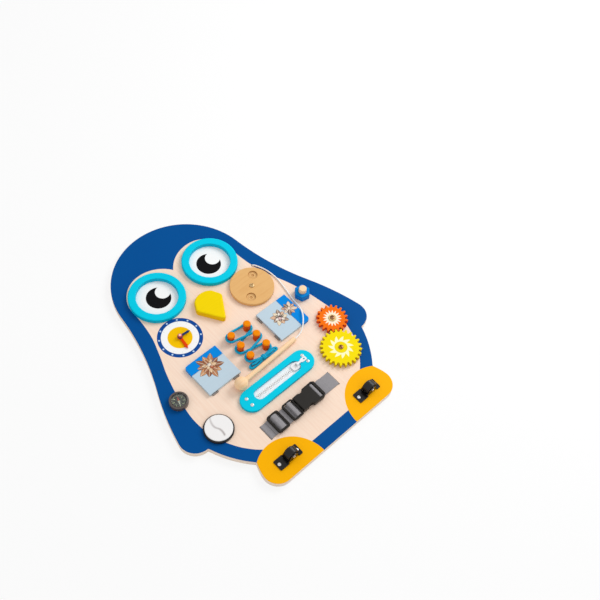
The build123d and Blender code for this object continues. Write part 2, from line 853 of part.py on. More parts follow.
def buckle_male():
    low, high = hardware_base, hardware_base + male_thickness
    slot_y = webbing_width + 2 * strap_side_gap
    near = male_end_x + male_rim
    bar = near + male_near_slot
    far = bar + male_bar
    shoulder = far + male_far_slot
    length = shoulder + male_shoulder - male_end_x
    ladder = Pos(male_end_x + length / 2, 0, low) * extrude(
        RectangleRounded(length, male_width, glide_corner), male_thickness)
    ladder = fillet(top_edges(ladder), buckle_edge_round)
    ladder -= box(near, bar, -slot_y / 2, slot_y / 2, low - 1, high + 1)
    ladder -= box(far, shoulder, -slot_y / 2, slot_y / 2, low - 1, high + 1)
    ladder -= box(bar, far, -slot_y / 2, slot_y / 2, low + male_bar_height, high + 1)
    root = shoulder + male_shoulder
    tip = root + prong_length
    prongs = tongue(root, tip, low)
    for side in (-1, 1):
        prongs += arm(root, tip, low, side)
    return on_board(0, buckle_y) * (ladder + prongs)


def tongue(root, tip, low):
    with BuildSketch() as shape:
        half = tongue_width / 2
        Polygon((root - 1, -half), (tip - half, -half), (tip, -half / 2), (tip, half / 2), (tip - half, half),
                (root - 1, half), align=None)
    return Pos(0, 0, low) * extrude(shape.sketch, male_thickness)


def arm(root, tip, low, side):
    # A springy side arm; its head is what the fingers squeeze through the window.
    outer, inner = arm_spread, arm_spread - arm_width
    head = root + window_from_mouth - arm_window_gap
    with BuildSketch() as shape:
        Polygon((root - 1, side * inner), (root - 1, side * outer), (head, side * (outer - arm_waist)),
                (head + arm_step, side * outer), (tip - arm_nose, side * outer),
                (tip, side * (outer - arm_nose_in)), (tip, side * (outer - arm_nose_in - arm_nose_tip)),
                (tip - arm_nose, side * (outer - arm_head_width)), (head, side * (outer - arm_head_width)),
                (head - arm_neck, side * (inner - arm_waist / 2)), align=None)
    return Pos(0, 0, low) * extrude(shape.sketch, male_thickness)


def buckle_female():
    mouth = female_end_x - female_length
    low = webbing_top + seat_gap
    high = low + female_thickness
    half, mouth_half = female_width / 2, female_mouth_width / 2
    notch_from, notch_to = mouth + window_from_mouth, mouth + window_from_mouth + window_length
    cavity_low = hardware_base - seat_gap
    cavity_high = hardware_base + male_thickness + seat_gap
    with BuildSketch() as outline:
        with BuildLine():
            Polyline((mouth, 0), (mouth, mouth_half), (notch_from, mouth_half + mouth_flare))
            ThreePointArc((notch_from, mouth_half + mouth_flare),
                          (notch_from + window_length * 0.4, mouth_half - notch_depth),
                          (notch_to, half - notch_inset))
            Polyline((notch_to, half - notch_inset), (female_end_x - female_rim, half),
                     (female_end_x, half - female_corner), (female_end_x, 0))
            mirror(about=Plane.XZ)
        make_face()
    shell = Pos(0, 0, low) * extrude(outline.sketch, female_thickness)
    shell = fillet(top_edges(shell), buckle_edge_round)
    cavity_end = female_end_x - female_rim - female_slot - female_wall
    shell -= box(mouth - 1, cavity_end, -cavity_width / 2, cavity_width / 2, cavity_low, cavity_high)
    for side in (-1, 1):
        y0, y1 = sorted((side * cavity_width / 2 * 0.8, side * half * 1.2))
        shell -= box(notch_from, notch_to - 1, y0, y1, cavity_low, cavity_high)
    slot_y = webbing_width / 2 + strap_side_gap
    slot_x = female_end_x - female_rim
    shell -= box(slot_x - female_slot, slot_x, -slot_y, slot_y, low - 1, high + 1)
    shell -= box(slot_x - 1, female_end_x + 1, -slot_y, slot_y, low - 1, hardware_base)
    shell += box(*strap_bar_x(), -slot_y - 1, slot_y + 1, low, low + strap_bar_height)
    return on_board(0, buckle_y) * shell


def strap_bar_x():
    # The recessed bar that the right strap is sewn round.
    left = female_end_x - female_rim - female_slot + 2 * seat_gap + webbing_thickness
    return left, left + strap_bar_width


def right_strap():
    # Out of its slot, round the buckle's recessed bar and back over itself to a sewn end.
    level = webbing_lift + webbing_thickness / 2
    bar_left, bar_right = strap_bar_x()
    over = webbing_top + seat_gap + strap_bar_height + seat_gap + webbing_thickness / 2
    beside = seat_gap + webbing_thickness / 2
    points = [(right_slot_x, -fastener_depth), (right_slot_x, level), (bar_left - beside, level),
              (bar_left - beside, over), (bar_right + beside, over), (bar_right + beside, return_level),
              (female_end_x + sewn_tail, return_level)]
    return on_board(0, buckle_y) * ribbon(points, buckle_bend)


def compass_case():
    case = fillet(top_edges(cylinder(compass_radius, 0, compass_height)), compass_rim_round)
    case -= cylinder(compass_dial_radius, compass_floor, compass_height + 1)
    ledge = compass_height - lens_thickness - lens_recess
    case -= cylinder(compass_dial_radius + lens_ledge, ledge, compass_height + 1)
    return on_board(*compass_at) * case


def compass_card():
    radius = compass_dial_radius - insert_clearance
    card = cylinder(radius, compass_floor, compass_floor + card_thickness)
    return on_board(*compass_at) * (card - cylinder(pivot_radius, 0, compass_height))


def compass_pivot():
    top = needle_height + needle_thickness + pivot_tip
    return on_board(*compass_at) * cylinder(pivot_radius, compass_floor, top)


def compass_needle():
    half, wide = needle_length / 2, needle_width / 2
    shape = Polygon((-half, 0), (0, -wide), (half, 0), (0, wide), align=None)
    needle = Pos(0, 0, needle_height) * extrude(shape, needle_thickness)
    needle -= cylinder(pivot_radius + running_clearance, 0, compass_height)
    return on_board(*compass_at) * Rot(0, 0, needle_angle) * needle


def compass_lens():
    low = compass_height - lens_thickness - lens_recess
    radius = compass_dial_radius + lens_ledge - insert_clearance
    return on_board(*compass_at) * cylinder(radius, low, low + lens_thickness)


def mirror_backing():
    backing = cylinder(mirror_backing_radius, 0, mirror_backing_height)
    return on_board(*mirror_at) * chamfer(top_edges(backing), mirror_bevel)


def mirror_plate():
    plate = cylinder(mirror_radius, mirror_backing_height, mirror_backing_height + mirror_thickness)
    return on_board(*mirror_at) * chamfer(top_edges(plate), mirror_edge)


def gear(teeth, place, angle):
    # Involute teeth with rounded crowns; one tooth points along angle.
    pitch = gear_module * teeth / 2
    base = pitch * cos(radians(pressure_angle))
    tip, root = pitch + tooth_tip, pitch - tooth_root
    half_tooth = pi / (2 * teeth) - tooth_backlash / (2 * pitch)

    def flank(radius):
        lean = acos(min(1.0, base / radius))
        start = acos(base / pitch)
        return half_tooth - (tan(lean) - lean) + (tan(start) - start)

    def at(radius, turn):
        return (radius * cos(turn), radius * sin(turn))

    low, crown = max(base, root), tip - tooth_crown
    half_way = (low + crown) / 2
    foot = flank(low)
    with BuildSketch() as outline:
        with BuildLine():
            for index in range(teeth):
                mid, nxt = 2 * pi * index / teeth, 2 * pi * (index + 1) / teeth
                Line(at(root, mid - foot), at(low, mid - foot))
                ThreePointArc(at(low, mid - foot), at(half_way, mid - flank(half_way)),
                              at(crown, mid - flank(crown)))
                ThreePointArc(at(crown, mid - flank(crown)), at(tip, mid), at(crown, mid + flank(crown)))
                ThreePointArc(at(crown, mid + flank(crown)), at(half_way, mid + flank(half_way)),
                              at(low, mid + foot))
                Line(at(low, mid + foot), at(root, mid + foot))
                ThreePointArc(at(root, mid + foot), at(root, mid + pi / teeth), at(root, nxt - foot))
        make_face()
        Circle(pivot_screw_radius + running_clearance, mode=Mode.SUBTRACT)
    solid = extrude(outline.sketch, gear_thickness)
    return on_board(*place, washer_thickness + seat_gap) * Rot(0, 0, angle) * solid


def cup_washer():
    base = washer_thickness + gear_thickness + 2 * seat_gap
    dish = cylinder(cup_washer_radius, base, base + cup_washer_height)
    dish = chamfer(top_edges(dish), cup_washer_bevel)
    return on_board(*orange_at) * (dish - cylinder(pivot_screw_radius, 0, base + cup_washer_height + 1))


def roller_place(side):
    return on_board(side * roller_x, roller_y)


def wheel_well():
    # The pocket that the wheel's lower part turns in.
    reach = sqrt(wheel_radius ** 2 - (wheel_axis_height - plate_thickness) ** 2) + 2 * wheel_gap
    half = wheel_width / 2 + wheel_gap
    return Pos(wheel_offset, 0, 0) * box(-reach, reach, -half, half, -well_depth, plate_thickness)


def roller_bracket(side):
    plate = extrude(RectangleRounded(plate_length, plate_width, plate_corner), plate_thickness)
    plate -= wheel_well()
    for x in (-plate_screw_x, plate_screw_x):
        plate -= Pos(x, 0, 0) * cylinder(small_screw_radius, -1, plate_thickness + 1)
    window_top = wheel_axis_height - axle_head_radius - cheek_window_gap
    with BuildSketch(Plane.XZ) as cheek:
        with BuildLine():
            Line((-cheek_foot / 2, plate_thickness), (cheek_foot / 2, plate_thickness))
            top = CenterArc((0, wheel_axis_height), cheek_top_radius, cheek_shoulder,
                            180 - 2 * cheek_shoulder)
            Line((cheek_foot / 2, plate_thickness), top @ 0)
            Line((-cheek_foot / 2, plate_thickness), top @ 1)
        make_face()
        with Locations((0, plate_thickness)):
            Rectangle(cheek_window, 2 * (window_top - plate_thickness), mode=Mode.SUBTRACT)
        with Locations((0, wheel_axis_height)):
            Circle(axle_radius, mode=Mode.SUBTRACT)
    ear = extrude(cheek.sketch, cheek_thickness)
    inner = wheel_width / 2 + wheel_gap
    outer = inner + cheek_thickness
    for low_y in (-plate_width / 2 - 1, outer):
        # The plate is waisted beside the cheeks.
        plate -= Pos(wheel_offset, 0, 0) * box(-plate_waist / 2, plate_waist / 2, low_y,
                                               low_y + plate_width / 2 + 1 - outer, -1, plate_thickness + 1)
    bracket = plate + Pos(wheel_offset, -inner, 0) * ear + Pos(wheel_offset, outer, 0) * ear
    return roller_place(side) * bracket


def roller_wheel(side):
    wheel = Cylinder(wheel_radius, wheel_width)
    wheel = fillet(wheel.edges().filter_by(GeomType.CIRCLE), wheel_edge_round)
    for z in (-wheel_width / 2, wheel_width / 2 - hub_recess):
        wheel -= Pos(0, 0, z + hub_recess / 2) * (
            Cylinder(hub_radius + hub_groove, hub_recess) - Cylinder(hub_radius, hub_recess))
    wheel -= Cylinder(axle_radius + running_clearance, wheel_width + 1)
    return roller_place(side) * Pos(wheel_offset, 0, wheel_axis_height) * Rot(90, 0, 0) * wheel


def roller_axle(side):
    span = wheel_width + 2 * wheel_gap + 2 * cheek_thickness
    axle = Cylinder(axle_radius, span)
    for z in (-span / 2 - axle_head / 2, span / 2 + axle_head / 2):
        axle += Pos(0, 0, z) * Cylinder(axle_head_radius, axle_head)
    return roller_place(side) * Pos(wheel_offset, 0, wheel_axis_height) * Rot(90, 0, 0) * axle


def stick_axis():
    # From the ball's centre to the tip, whose underside is just over the board.
    start = Vector(*ball_at, ball_radius + mallet_gap)
    end = Vector(*stick_tip, stick_radius + mallet_gap)
    return start, end, (end - start).normalized()


def mallet_ball():
    start, end, along = stick_axis()
    ball = Sphere(ball_radius) - cylinder(stick_radius, 0, 2 * ball_radius)
    return on_board(0, 0) * Plane(start, z_dir=along).location * ball


def mallet_stick():
    start, end, along = stick_axis()
    stick = cylinder(stick_radius, 0, (end - start).length)
    return on_board(0, 0) * Plane(start, z_dir=along).location * stick


def tether():
    start, end, along = stick_axis()
    points = [tuple(end), tuple(end + along * 7), (61.0, 129.6, 3.4), (69.5, 136.2, 7.9), (77.6, 146.4, 7.9),
              (83.2, 157.5, 2.2), (84.6, 171.2, 1.2), (87.5, 184.2, 1.2), (90.0, 197.6, 1.2),
              (91.2, 211.5, 1.2), (89.6, 225.0, 1.2), (85.2, 236.2, 1.4), (82.1, 241.0, 1.9),
              (*tether_hole, 0.2), (*tether_hole, -3.0)]
    return on_board(0, 0) * cord(points, tether_diameter)


def in_group(solids):
    return Compound(children=list(solids))


def main():
    os.makedirs("parts", exist_ok=True)
    nodes = {
        "board": board(),
        "left_eye_ring": eye_ring(-1),
        "right_eye_ring": eye_ring(1),
        "beak": beak(),
        "minute_hand": clock_hand(minute_hand_length, minute_hand_width, minute_hand_angle, hand_gap),
        "hour_hand": clock_hand(hour_hand_length, hour_hand_width, hour_hand_angle,
                                2 * hand_gap + hand_thickness),
        "clock_pin": clock_pin(),
        "spin_disc": spin_disc(),
        "pivot_washers": in_group(pivot_washer(place) for place in (disc_at, yellow_at, orange_at)),
        "pivot_screws": in_group(pivot_screws()),
        "cup_washer": cup_washer(),
        "lace": lace(),
        "lace_bow": lace_bow(),
        "nut_stud": stud(),
        "hex_nut": hex_nut(),
        "zipper_frame": zip_frame(),
        "zipper_screws": in_group(small_screw(place, zip_frame_thickness) for place in zip_screw_places()),
        "zipper_tape_upper": zip_tape(1),
        "zipper_tape_lower": zip_tape(-1),
        "zipper_teeth_upper": zip_row(1),
        "zipper_teeth_lower": zip_row(-1),
        "zipper_stops": in_group(zip_stops()),
        "zipper_slider": zip_slider(),
        "pull_tab": pull_tab(),
        "left_strap": left_strap(),
        "left_strap_return": left_strap_return(),
        "tri_glide": tri_glide(),
        "buckle_male": buckle_male(),
        "buckle_female": buckle_female(),
        "right_strap": right_strap(),
        "compass_case": compass_case(),
        "compass_card": compass_card(),
        "compass_pivot": compass_pivot(),
        "compass_needle": compass_needle(),
        "compass_lens": compass_lens(),
        "mirror_backing": mirror_backing(),
        "mirror_plate": mirror_plate(),
        "yellow_gear": gear(yellow_teeth, yellow_at, mesh_angle),
        "orange_gear": gear(orange_teeth, orange_at, mesh_angle + 180 + 180 / orange_teeth),
        "mallet_ball": mallet_ball(),
        "mallet_stick": mallet_stick(),
        "tether": tether(),
    }
    for name, side in (("left", -1), ("right", 1)):
        nodes[name + "_flap"] = flap(side)
        nodes[name + "_flap_strip"] = flap_strip(side)
        nodes[name + "_hinge_fixed"] = in_group(place * hinge_fixed() for place in hinge_places(side))
        nodes[name + "_hinge_moving"] = in_group(place * hinge_moving() for place in hinge_places(side))
        nodes[name + "_roller_bracket"] = roller_bracket(side)
        nodes[name + "_roller_wheel"] = roller_wheel(side)
        nodes[name + "_roller_axle"] = roller_axle(side)
    nodes["lacing_posts"] = in_group(lacing_post(side, row) for side in (-1, 1) for row in post_rows)
    nodes["roller_screws"] = in_group(
        small_screw(roller_place(side) * Pos(x, 0, 0), plate_thickness)
        for side in (-1, 1) for x in (-plate_screw_x, plate_screw_x))
    for name, shape in nodes.items():
        export_step(shape, f"parts/{name}.step")
    print(len(nodes), "nodes")


main()
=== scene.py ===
from math import asin, atan2, cos, hypot, pi, radians, sin, sqrt

import bmesh
import bpy
from mathutils import Matrix, Vector


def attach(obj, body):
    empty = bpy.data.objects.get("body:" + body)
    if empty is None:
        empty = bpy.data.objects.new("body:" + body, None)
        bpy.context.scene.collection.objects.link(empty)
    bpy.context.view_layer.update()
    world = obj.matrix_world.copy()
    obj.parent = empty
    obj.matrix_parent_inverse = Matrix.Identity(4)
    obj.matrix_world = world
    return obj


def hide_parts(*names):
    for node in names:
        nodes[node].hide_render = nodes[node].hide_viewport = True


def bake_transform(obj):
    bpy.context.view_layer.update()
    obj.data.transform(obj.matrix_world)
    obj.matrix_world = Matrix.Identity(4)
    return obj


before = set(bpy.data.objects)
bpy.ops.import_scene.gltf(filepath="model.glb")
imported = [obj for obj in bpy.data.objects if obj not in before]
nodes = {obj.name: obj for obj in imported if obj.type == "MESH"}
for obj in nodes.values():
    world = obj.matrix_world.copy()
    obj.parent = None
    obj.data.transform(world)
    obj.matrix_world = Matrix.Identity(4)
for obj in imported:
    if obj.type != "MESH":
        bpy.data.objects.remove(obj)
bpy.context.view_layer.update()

# Lengths below are in millimetres on the printed face: x across, y up from the bottom edge,
# z above the face. onBoard turns them into the frame's metres.
mm = 0.001
fullTurn = 2 * pi
board = {"height": 370.0, "thickness": 8.0}


def onBoard(x, y, z=0.0):
    return Vector((x, y - board["height"] / 2, board["thickness"] + z)) * mm


def tone(red, green, blue):
    # a colour as a paint chart gives it, 0 to 255, turned into linear light
    def linear(part):
        part = part / 255
        return part / 12.92 if part <= 0.04045 else ((part + 0.055) / 1.055) ** 2.4
    return (linear(red), linear(green), linear(blue), 1.0)


def scaled(colour, factor, lift=0.0):
    # the same colour, darker or lighter
    return tuple(min(1.0, part * factor + lift) for part in colour[:3]) + (1.0,)


def mathNode(operation, flip=False):
    # an operator for Wire: one Math node, with its two values the other way round where flip is set
    def act(wire, *others):
        values = (wire,) + others
        return wire.graph.node("Math", {"operation": operation},
                               dict(enumerate(values[::-1] if flip else values)))
    return act


class Wire:
    # a number on its way through a material: an expression on it adds its Math nodes
    def __init__(self, graph, socket):
        self.graph = graph
        self.socket = socket

    __add__ = __radd__ = mathNode("ADD")
    __mul__ = __rmul__ = mathNode("MULTIPLY")
    __sub__, __rsub__ = mathNode("SUBTRACT"), mathNode("SUBTRACT", flip=True)
    __truediv__, __rtruediv__ = mathNode("DIVIDE"), mathNode("DIVIDE", flip=True)
    __mod__, __rmod__ = mathNode("MODULO"), mathNode("MODULO", flip=True)
    __pow__, __rpow__ = mathNode("POWER"), mathNode("POWER", flip=True)
    __gt__, __lt__ = mathNode("GREATER_THAN"), mathNode("LESS_THAN")
    __abs__ = mathNode("ABSOLUTE")
    least, most = mathNode("MINIMUM"), mathNode("MAXIMUM")
    sine, fraction, turned = mathNode("SINE"), mathNode("FRACT"), mathNode("ARCTAN2")

    def __neg__(self):
        return self * -1.0

    def clamped(self):
        return self.graph.node("Math", {"operation": "ADD", "use_clamp": True}, {0: self, 1: 0.0})

    def step(self, softness=0.2):
        # 0 below zero and 1 above it, with a soft edge as wide as softness
        return (self / softness + 0.5).clamped()


class Graph:
    # the node tree of one material, or of the world when that is given
    def __init__(self, name, owner=None):
        self.material = owner or bpy.data.materials.new(name)
        self.material.use_nodes = True
        self.tree = self.material.node_tree
        self.tree.nodes.clear()

    def node(self, kind, settings=None, inputs=None, out=0):
        made = self.tree.nodes.new("ShaderNode" + kind)
        for key, value in (settings or {}).items():
            if key == "curve":
                self.fillCurve(made.mapping, value)
            else:
                setattr(made, key, value)
        for key, value in (inputs or {}).items():
            if isinstance(value, Wire):
                self.tree.links.new(value.socket, made.inputs[key])
            else:
                made.inputs[key].default_value = value
        return Wire(self, made.outputs[out] if len(made.outputs) else None)

    def fillCurve(self, mapping, points):
        line = mapping.curves[0]
        while len(line.points) < len(points):
            line.points.new(0.5, 0.5)
        for point, (x, y) in zip(line.points, points):
            point.location = (x, y)
        mapping.update()

    def place(self):
        # the object's own coordinates, so that a finish moves with its piece
        spot = self.node("TexCoord", out="Object")
        parts = self.node("SeparateXYZ", None, {0: spot}).socket.node.outputs
        x, y, z = (Wire(self, part) for part in parts)
        return x / mm, y / mm + board["height"] / 2, z / mm - board["thickness"]

    def facing(self):
        # how far the surface looks up in the piece's own frame
        normal = self.node("TexCoord", out="Normal")
        return self.node("SeparateXYZ", None, {0: normal}, out=2)

    def noise(self, cells, detail=3.0, roughness=0.5, offset=0.0):
        # cells per millimetre: one number, or one along each axis
        stretch = cells if isinstance(cells, tuple) else (cells,) * 3
        spot = self.node("TexCoord", out="Object")
        grid = self.node("VectorMath", {"operation": "MULTIPLY"},
                         {0: spot, 1: [each / mm for each in stretch]})
        moved = self.node("VectorMath", {"operation": "ADD"}, {0: grid, 1: (offset,) * 3})
        return self.node("TexNoise", None,
                         {"Vector": moved, "Scale": 1.0, "Detail": detail, "Roughness": roughness})

    def mix(self, factor, first, second):
        return self.node("Mix", {"data_type": "RGBA"}, {0: factor, 6: first, 7: second}, out=2)

    def edges(self, radius):
        # 0 on flats, towards 1 on edges, with the rounded normal beside it
        rounded = self.node("Bevel", {"samples": 4}, {"Radius": radius * mm})
        flat = self.node("NewGeometry", out="Normal")
        same = self.node("VectorMath", {"operation": "DOT_PRODUCT"}, {0: rounded, 1: flat}, "Value")
        return (1.0 - same) * 4.0, rounded

    def bump(self, height, distance, normal=None, strength=1.0):
        inputs = {"Height": height, "Distance": distance * mm, "Strength": strength}
        if normal is not None:
            inputs["Normal"] = normal
        return self.node("Bump", None, inputs)

    def finish(self, colour, **sockets):
        names = {"specular": "Specular IOR Level", "transmission": "Transmission Weight", "ior": "IOR",
                 "sheen": "Sheen Weight", "sheenRoughness": "Sheen Roughness"}
        inputs = {names.get(key, key.title()): value for key, value in sockets.items()}
        shader = self.node("BsdfPrincipled", None, {"Base Color": colour, **inputs})
        self.node("OutputMaterial", None, {0: shader})
        return self.material


def span(x, y, centre):
    # how far a place lies from centre
    dx, dy = x - centre[0], y - centre[1]
    return (dx * dx + dy * dy) ** 0.5


def circleMask(x, y, centre, radius):
    return (radius - span(x, y, centre)).step()


def between(value, low, high, softness=0.2):
    # 1 from low to high and 0 outside, with soft edges
    return (value - low).step(softness).least((high - value).step(softness))


def bearing(x, y, centre):
    return (y - centre[1]).turned(x - centre[0])


def spokes(turn, count, shift=20.0):
    # where a bearing lies between two of count spokes, -0.5 to 0.5; shift keeps it above zero
    return (turn * (count / fullTurn) + shift).fraction() - 0.5


def dress(material, *names):
    # gives a carried-over piece its finish
    for name in names:
        mesh = nodes[name].data
        mesh.materials.clear()
        mesh.materials.append(material)


def linked(name, data):
    made = bpy.data.objects.new(name, data)
    bpy.context.scene.collection.objects.link(made)
    return made


def addPiece(name, points, faces, material, body, slotName, replaced, creases=None):
    # a new piece from its mesh; creases is the angle in degrees past which an edge stays sharp
    mesh = bpy.data.meshes.new(name)
    mesh.from_pydata([tuple(point) for point in points], [], faces)
    work = bmesh.new()
    work.from_mesh(mesh)
    bmesh.ops.recalc_face_normals(work, faces=work.faces)
    work.to_mesh(mesh)
    work.free()
    mesh.shade_smooth()
    if creases is not None:
        mesh.set_sharp_from_angle(angle=radians(creases))
    mesh.materials.append(material)
    piece = linked(name, mesh)
    if body:
        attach(piece, body)
    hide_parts(*replaced)
    return piece


def skin(rings):
    # closed rings of equal count joined into one capped body
    points, faces, count = [], [], len(rings[0])
    for ring in rings:
        points.extend(ring)
    for row in range(len(rings) - 1):
        for index in range(count):
            following = (index + 1) % count
            low, high = row * count, (row + 1) * count
            faces.append((low + index, low + following, high + following, high + index))
    faces.append(tuple(range(count - 1, -1, -1)))
    faces.append(tuple(range(len(points) - count, len(points))))
    return points, faces


def joined(bodies):
    points, faces = [], []
    for morePoints, moreFaces in bodies:
        base = len(points)
        points.extend(morePoints)
        faces.extend(tuple(index + base for index in face) for face in moreFaces)
    return points, faces


def evenly(points, spacing):
    # the same line, stepped at equal lengths
    lengths = [0.0]
    for before, here in zip(points, points[1:]):
        lengths.append(lengths[-1] + (here - before).length)
    count = max(2, round(lengths[-1] / spacing))
    stepped, index = [], 0
    for number in range(count + 1):
        target = lengths[-1] * number / count
        while index < len(points) - 2 and lengths[index + 1] < target:
            index += 1
        gap = lengths[index + 1] - lengths[index]
        share = (target - lengths[index]) / gap if gap > 0 else 0.0
        stepped.append(points[index].lerp(points[index + 1], share))
    return stepped


def relaxed(points, rounds):
    # eases corners, with both ends held
    for turn in range(rounds):
        eased = [before.lerp(after, 0.5).lerp(here, 0.5)
                 for before, here, after in zip(points, points[1:], points[2:])]
        points = [points[0]] + eased + [points[-1]]
    return points


def framesAlong(points):
    # each point with its two cross directions, carried along without twist
    frames, up = [], None
    for index, point in enumerate(points):
        heading = (points[min(index + 1, len(points) - 1)] - points[max(index - 1, 0)]).normalized()
        if up is None:
            up = Vector((0, 0, 1)) if abs(heading.z) < 0.9 else Vector((1, 0, 0))
        side = heading.cross(up).normalized()
        up = side.cross(heading).normalized()
        frames.append((point, side, up))
    return frames


def nurbsLine(name, points):
    # the route as a smooth spline, read back as points
    curve = bpy.data.curves.new(name, "CURVE")
    curve.dimensions = "3D"
    curve.resolution_u = 24
    spline = curve.splines.new("NURBS")
    spline.points.add(len(points) - 1)
    for place, point in zip(spline.points, points):
        place.co = (*point, 1.0)
    spline.order_u = 3
    spline.use_endpoint_u = True
    route = linked(name, curve)
    bpy.context.view_layer.update()
    line = bpy.data.meshes.new_from_object(route)
    path = [vertex.co.copy() for vertex in line.vertices]
    bpy.data.meshes.remove(line)
    bpy.data.objects.remove(route)
    bpy.data.curves.remove(curve)
    return path


def braidTube(points, radius, carriers, lay, relief, around=16, taper=0.0):
    # a braided cord: two sets of strands that cross round a core; taper narrows its last three rings
    frames = framesAlong(points)
    rings, run = [], 0.0
    for index, (point, side, up) in enumerate(frames):
        if index:
            run += (point - frames[index - 1][0]).length
        ring = []
        phase = run / lay * fullTurn
        fromEnd = min(index, len(frames) - 1 - index)
        squeeze = 1.0 - taper * max(0.0, 1.0 - fromEnd / 3)
        for step in range(around):
            turn = fullTurn * step / around
            right = cos(turn * carriers / 2 + phase) ** 2
            left = cos(turn * carriers / 2 - phase) ** 2
            reach = radius * squeeze * (1 - relief + relief * max(right, left))
            ring.append(point + (side * cos(turn) + up * sin(turn)) * reach)
        rings.append(ring)
    return skin(rings)


paint = {
    "blue": tone(0, 80, 150),
    "blueShade": tone(0, 72, 142),
    "belly": tone(253, 228, 208),
    "bellyShade": tone(246, 211, 187),
    "feet": tone(255, 182, 0),
    "feetShade": tone(250, 172, 0),
    "stripBlue": tone(0, 136, 224),
    "flapBlue": tone(196, 216, 229),
    "bare": tone(255, 221, 182),
    "ringBlue": tone(16, 74, 152),
    "dialYellow": tone(250, 198, 0),
    "white": tone(251, 251, 250),
    "ink": tone(14, 14, 16),
    "cream": tone(255, 240, 214),
}
paintedWood = {
    "roughness": 0.46,
    "gloss": 0.06,
    "grain": (0.05, 0.9, 0.9),  # cells per mm, long along x
    "patches": 0.05,
    "wearWidth": 0.6,
    "uprightBelow": 0.6,
    "sideShadeShare": 0.85,
}


def woodPaint(name, colour, side=None, shade=0.9, wear=0.25, decorate=None):
    # satin paint over wood: faint grain, uneven gloss and slightly rubbed edges; where side is given,
    # upright faces take that darker tone as a painted shade
    graph = Graph(name)
    streak = graph.noise(paintedWood["grain"], detail=4.0)
    cloud = graph.noise(paintedWood["patches"], detail=2.0, offset=7.0)
    body = graph.mix((streak - 0.35) * 1.3, scaled(colour, shade), colour)
    # painted shade: upright faces take the darker side tone, as if shaded under light from above
    if side is not None:
        upright = abs(graph.facing()) < paintedWood["uprightBelow"]
        body = graph.mix(upright * paintedWood["sideShadeShare"], body, side)
    if decorate is not None:
        body = decorate(graph, body, *graph.place()[:2])
    worn, rounded = graph.edges(paintedWood["wearWidth"])
    rubbed = (worn * (cloud + 0.25) * wear).clamped()
    body = graph.mix(rubbed, body, graph.mix(0.6, colour, paint["cream"]))
    rough = paintedWood["roughness"] + (cloud - 0.5) * 0.16 + (streak - 0.5) * 0.06
    normal = graph.bump(streak, 0.05, rounded, 0.5)
    return graph.finish(body, roughness=rough, specular=paintedWood["gloss"], normal=normal)


def bareWood(name, dark, grain, ringScale, pale=paint["bare"], gloss=0.08, roughness=0.5, decorate=None):
    # sanded timber: growth rings bent by coarse noise, with finer fibre over them
    graph = Graph(name)
    coarse = graph.noise(grain, detail=5.0, roughness=0.6)
    fine = graph.noise(tuple(each * 5 for each in grain), detail=3.0, offset=3.0)
    bands = ((coarse * ringScale).sine() + 1.0) * 0.5
    body = graph.mix(((bands * 0.6 + fine * 0.5) * 0.75).clamped(), pale, dark)
    if decorate is not None:
        body = decorate(graph, body, *graph.place()[:2])
    normal = graph.bump(fine, 0.05, graph.edges(0.4)[1], 0.5)
    return graph.finish(body, roughness=roughness + (fine - 0.5) * 0.2, specular=gloss, normal=normal)


def plastic(name, colour, roughness, gloss=0.3, bumps=0.02):
    # moulded plastic: fine speckle, with scuffs and edges a little paler
    graph = Graph(name)
    speckle = graph.noise(3.0, detail=2.0)
    cloud = graph.noise(0.12, detail=3.0, offset=4.0)
    worn, rounded = graph.edges(0.25)
    body = graph.mix((worn * 0.35 + cloud * 0.06).clamped(), colour, scaled(colour, 1.5, 0.02))
    rough = roughness + (cloud - 0.5) * 0.18 + (speckle - 0.5) * 0.06
    normal = graph.bump(speckle, bumps, rounded, 0.6)
    return graph.finish(body, roughness=rough, specular=gloss, normal=normal)


def metal(name, colour, roughness):
    # tumbled metal with dull patches
    graph = Graph(name)
    brush = graph.noise(1.5, detail=3.0)
    cloud = graph.noise(0.3, detail=2.0, offset=5.0)
    body = graph.mix(((cloud - 0.45) * 0.3).clamped(), colour, scaled(colour, 0.6))
    normal = graph.bump(brush, 0.02, graph.edges(0.2)[1], 0.5)
    return graph.finish(body, roughness=roughness + (brush - 0.5) * 0.25, metallic=1.0, normal=normal)


def woven(name, colour, warp, weft, depth, contrast=0.7):
    # rows of warp yarns crossed by weft, both in yarns per millimetre; the yarn pattern also sets the
    # colour, as painted light and shade
    graph = Graph(name)
    x, y, z = graph.place()
    lean = (y * (warp * pi)).sine()
    slant = x * (weft * pi) + (y * (warp * pi / 4)).sine() * 2.2
    yarn = abs(lean) ** 0.6 * (0.55 + abs(slant.sine()) * 0.45)
    fluff = graph.noise(2.5, detail=4.0)
    # painted light and shade on the weave: yarn crowns lighter, the gaps between yarns darker; fluff adds
    # random tone
    light = (yarn * 0.8 + fluff * 0.35).clamped()
    body = graph.mix(light, scaled(colour, contrast), scaled(colour, 1.15))
    normal = graph.bump(yarn + fluff * 0.3, depth, None, 0.8)
    return graph.finish(body, roughness=0.85, specular=0.15, sheen=0.3, sheenRoughness=0.5, normal=normal)


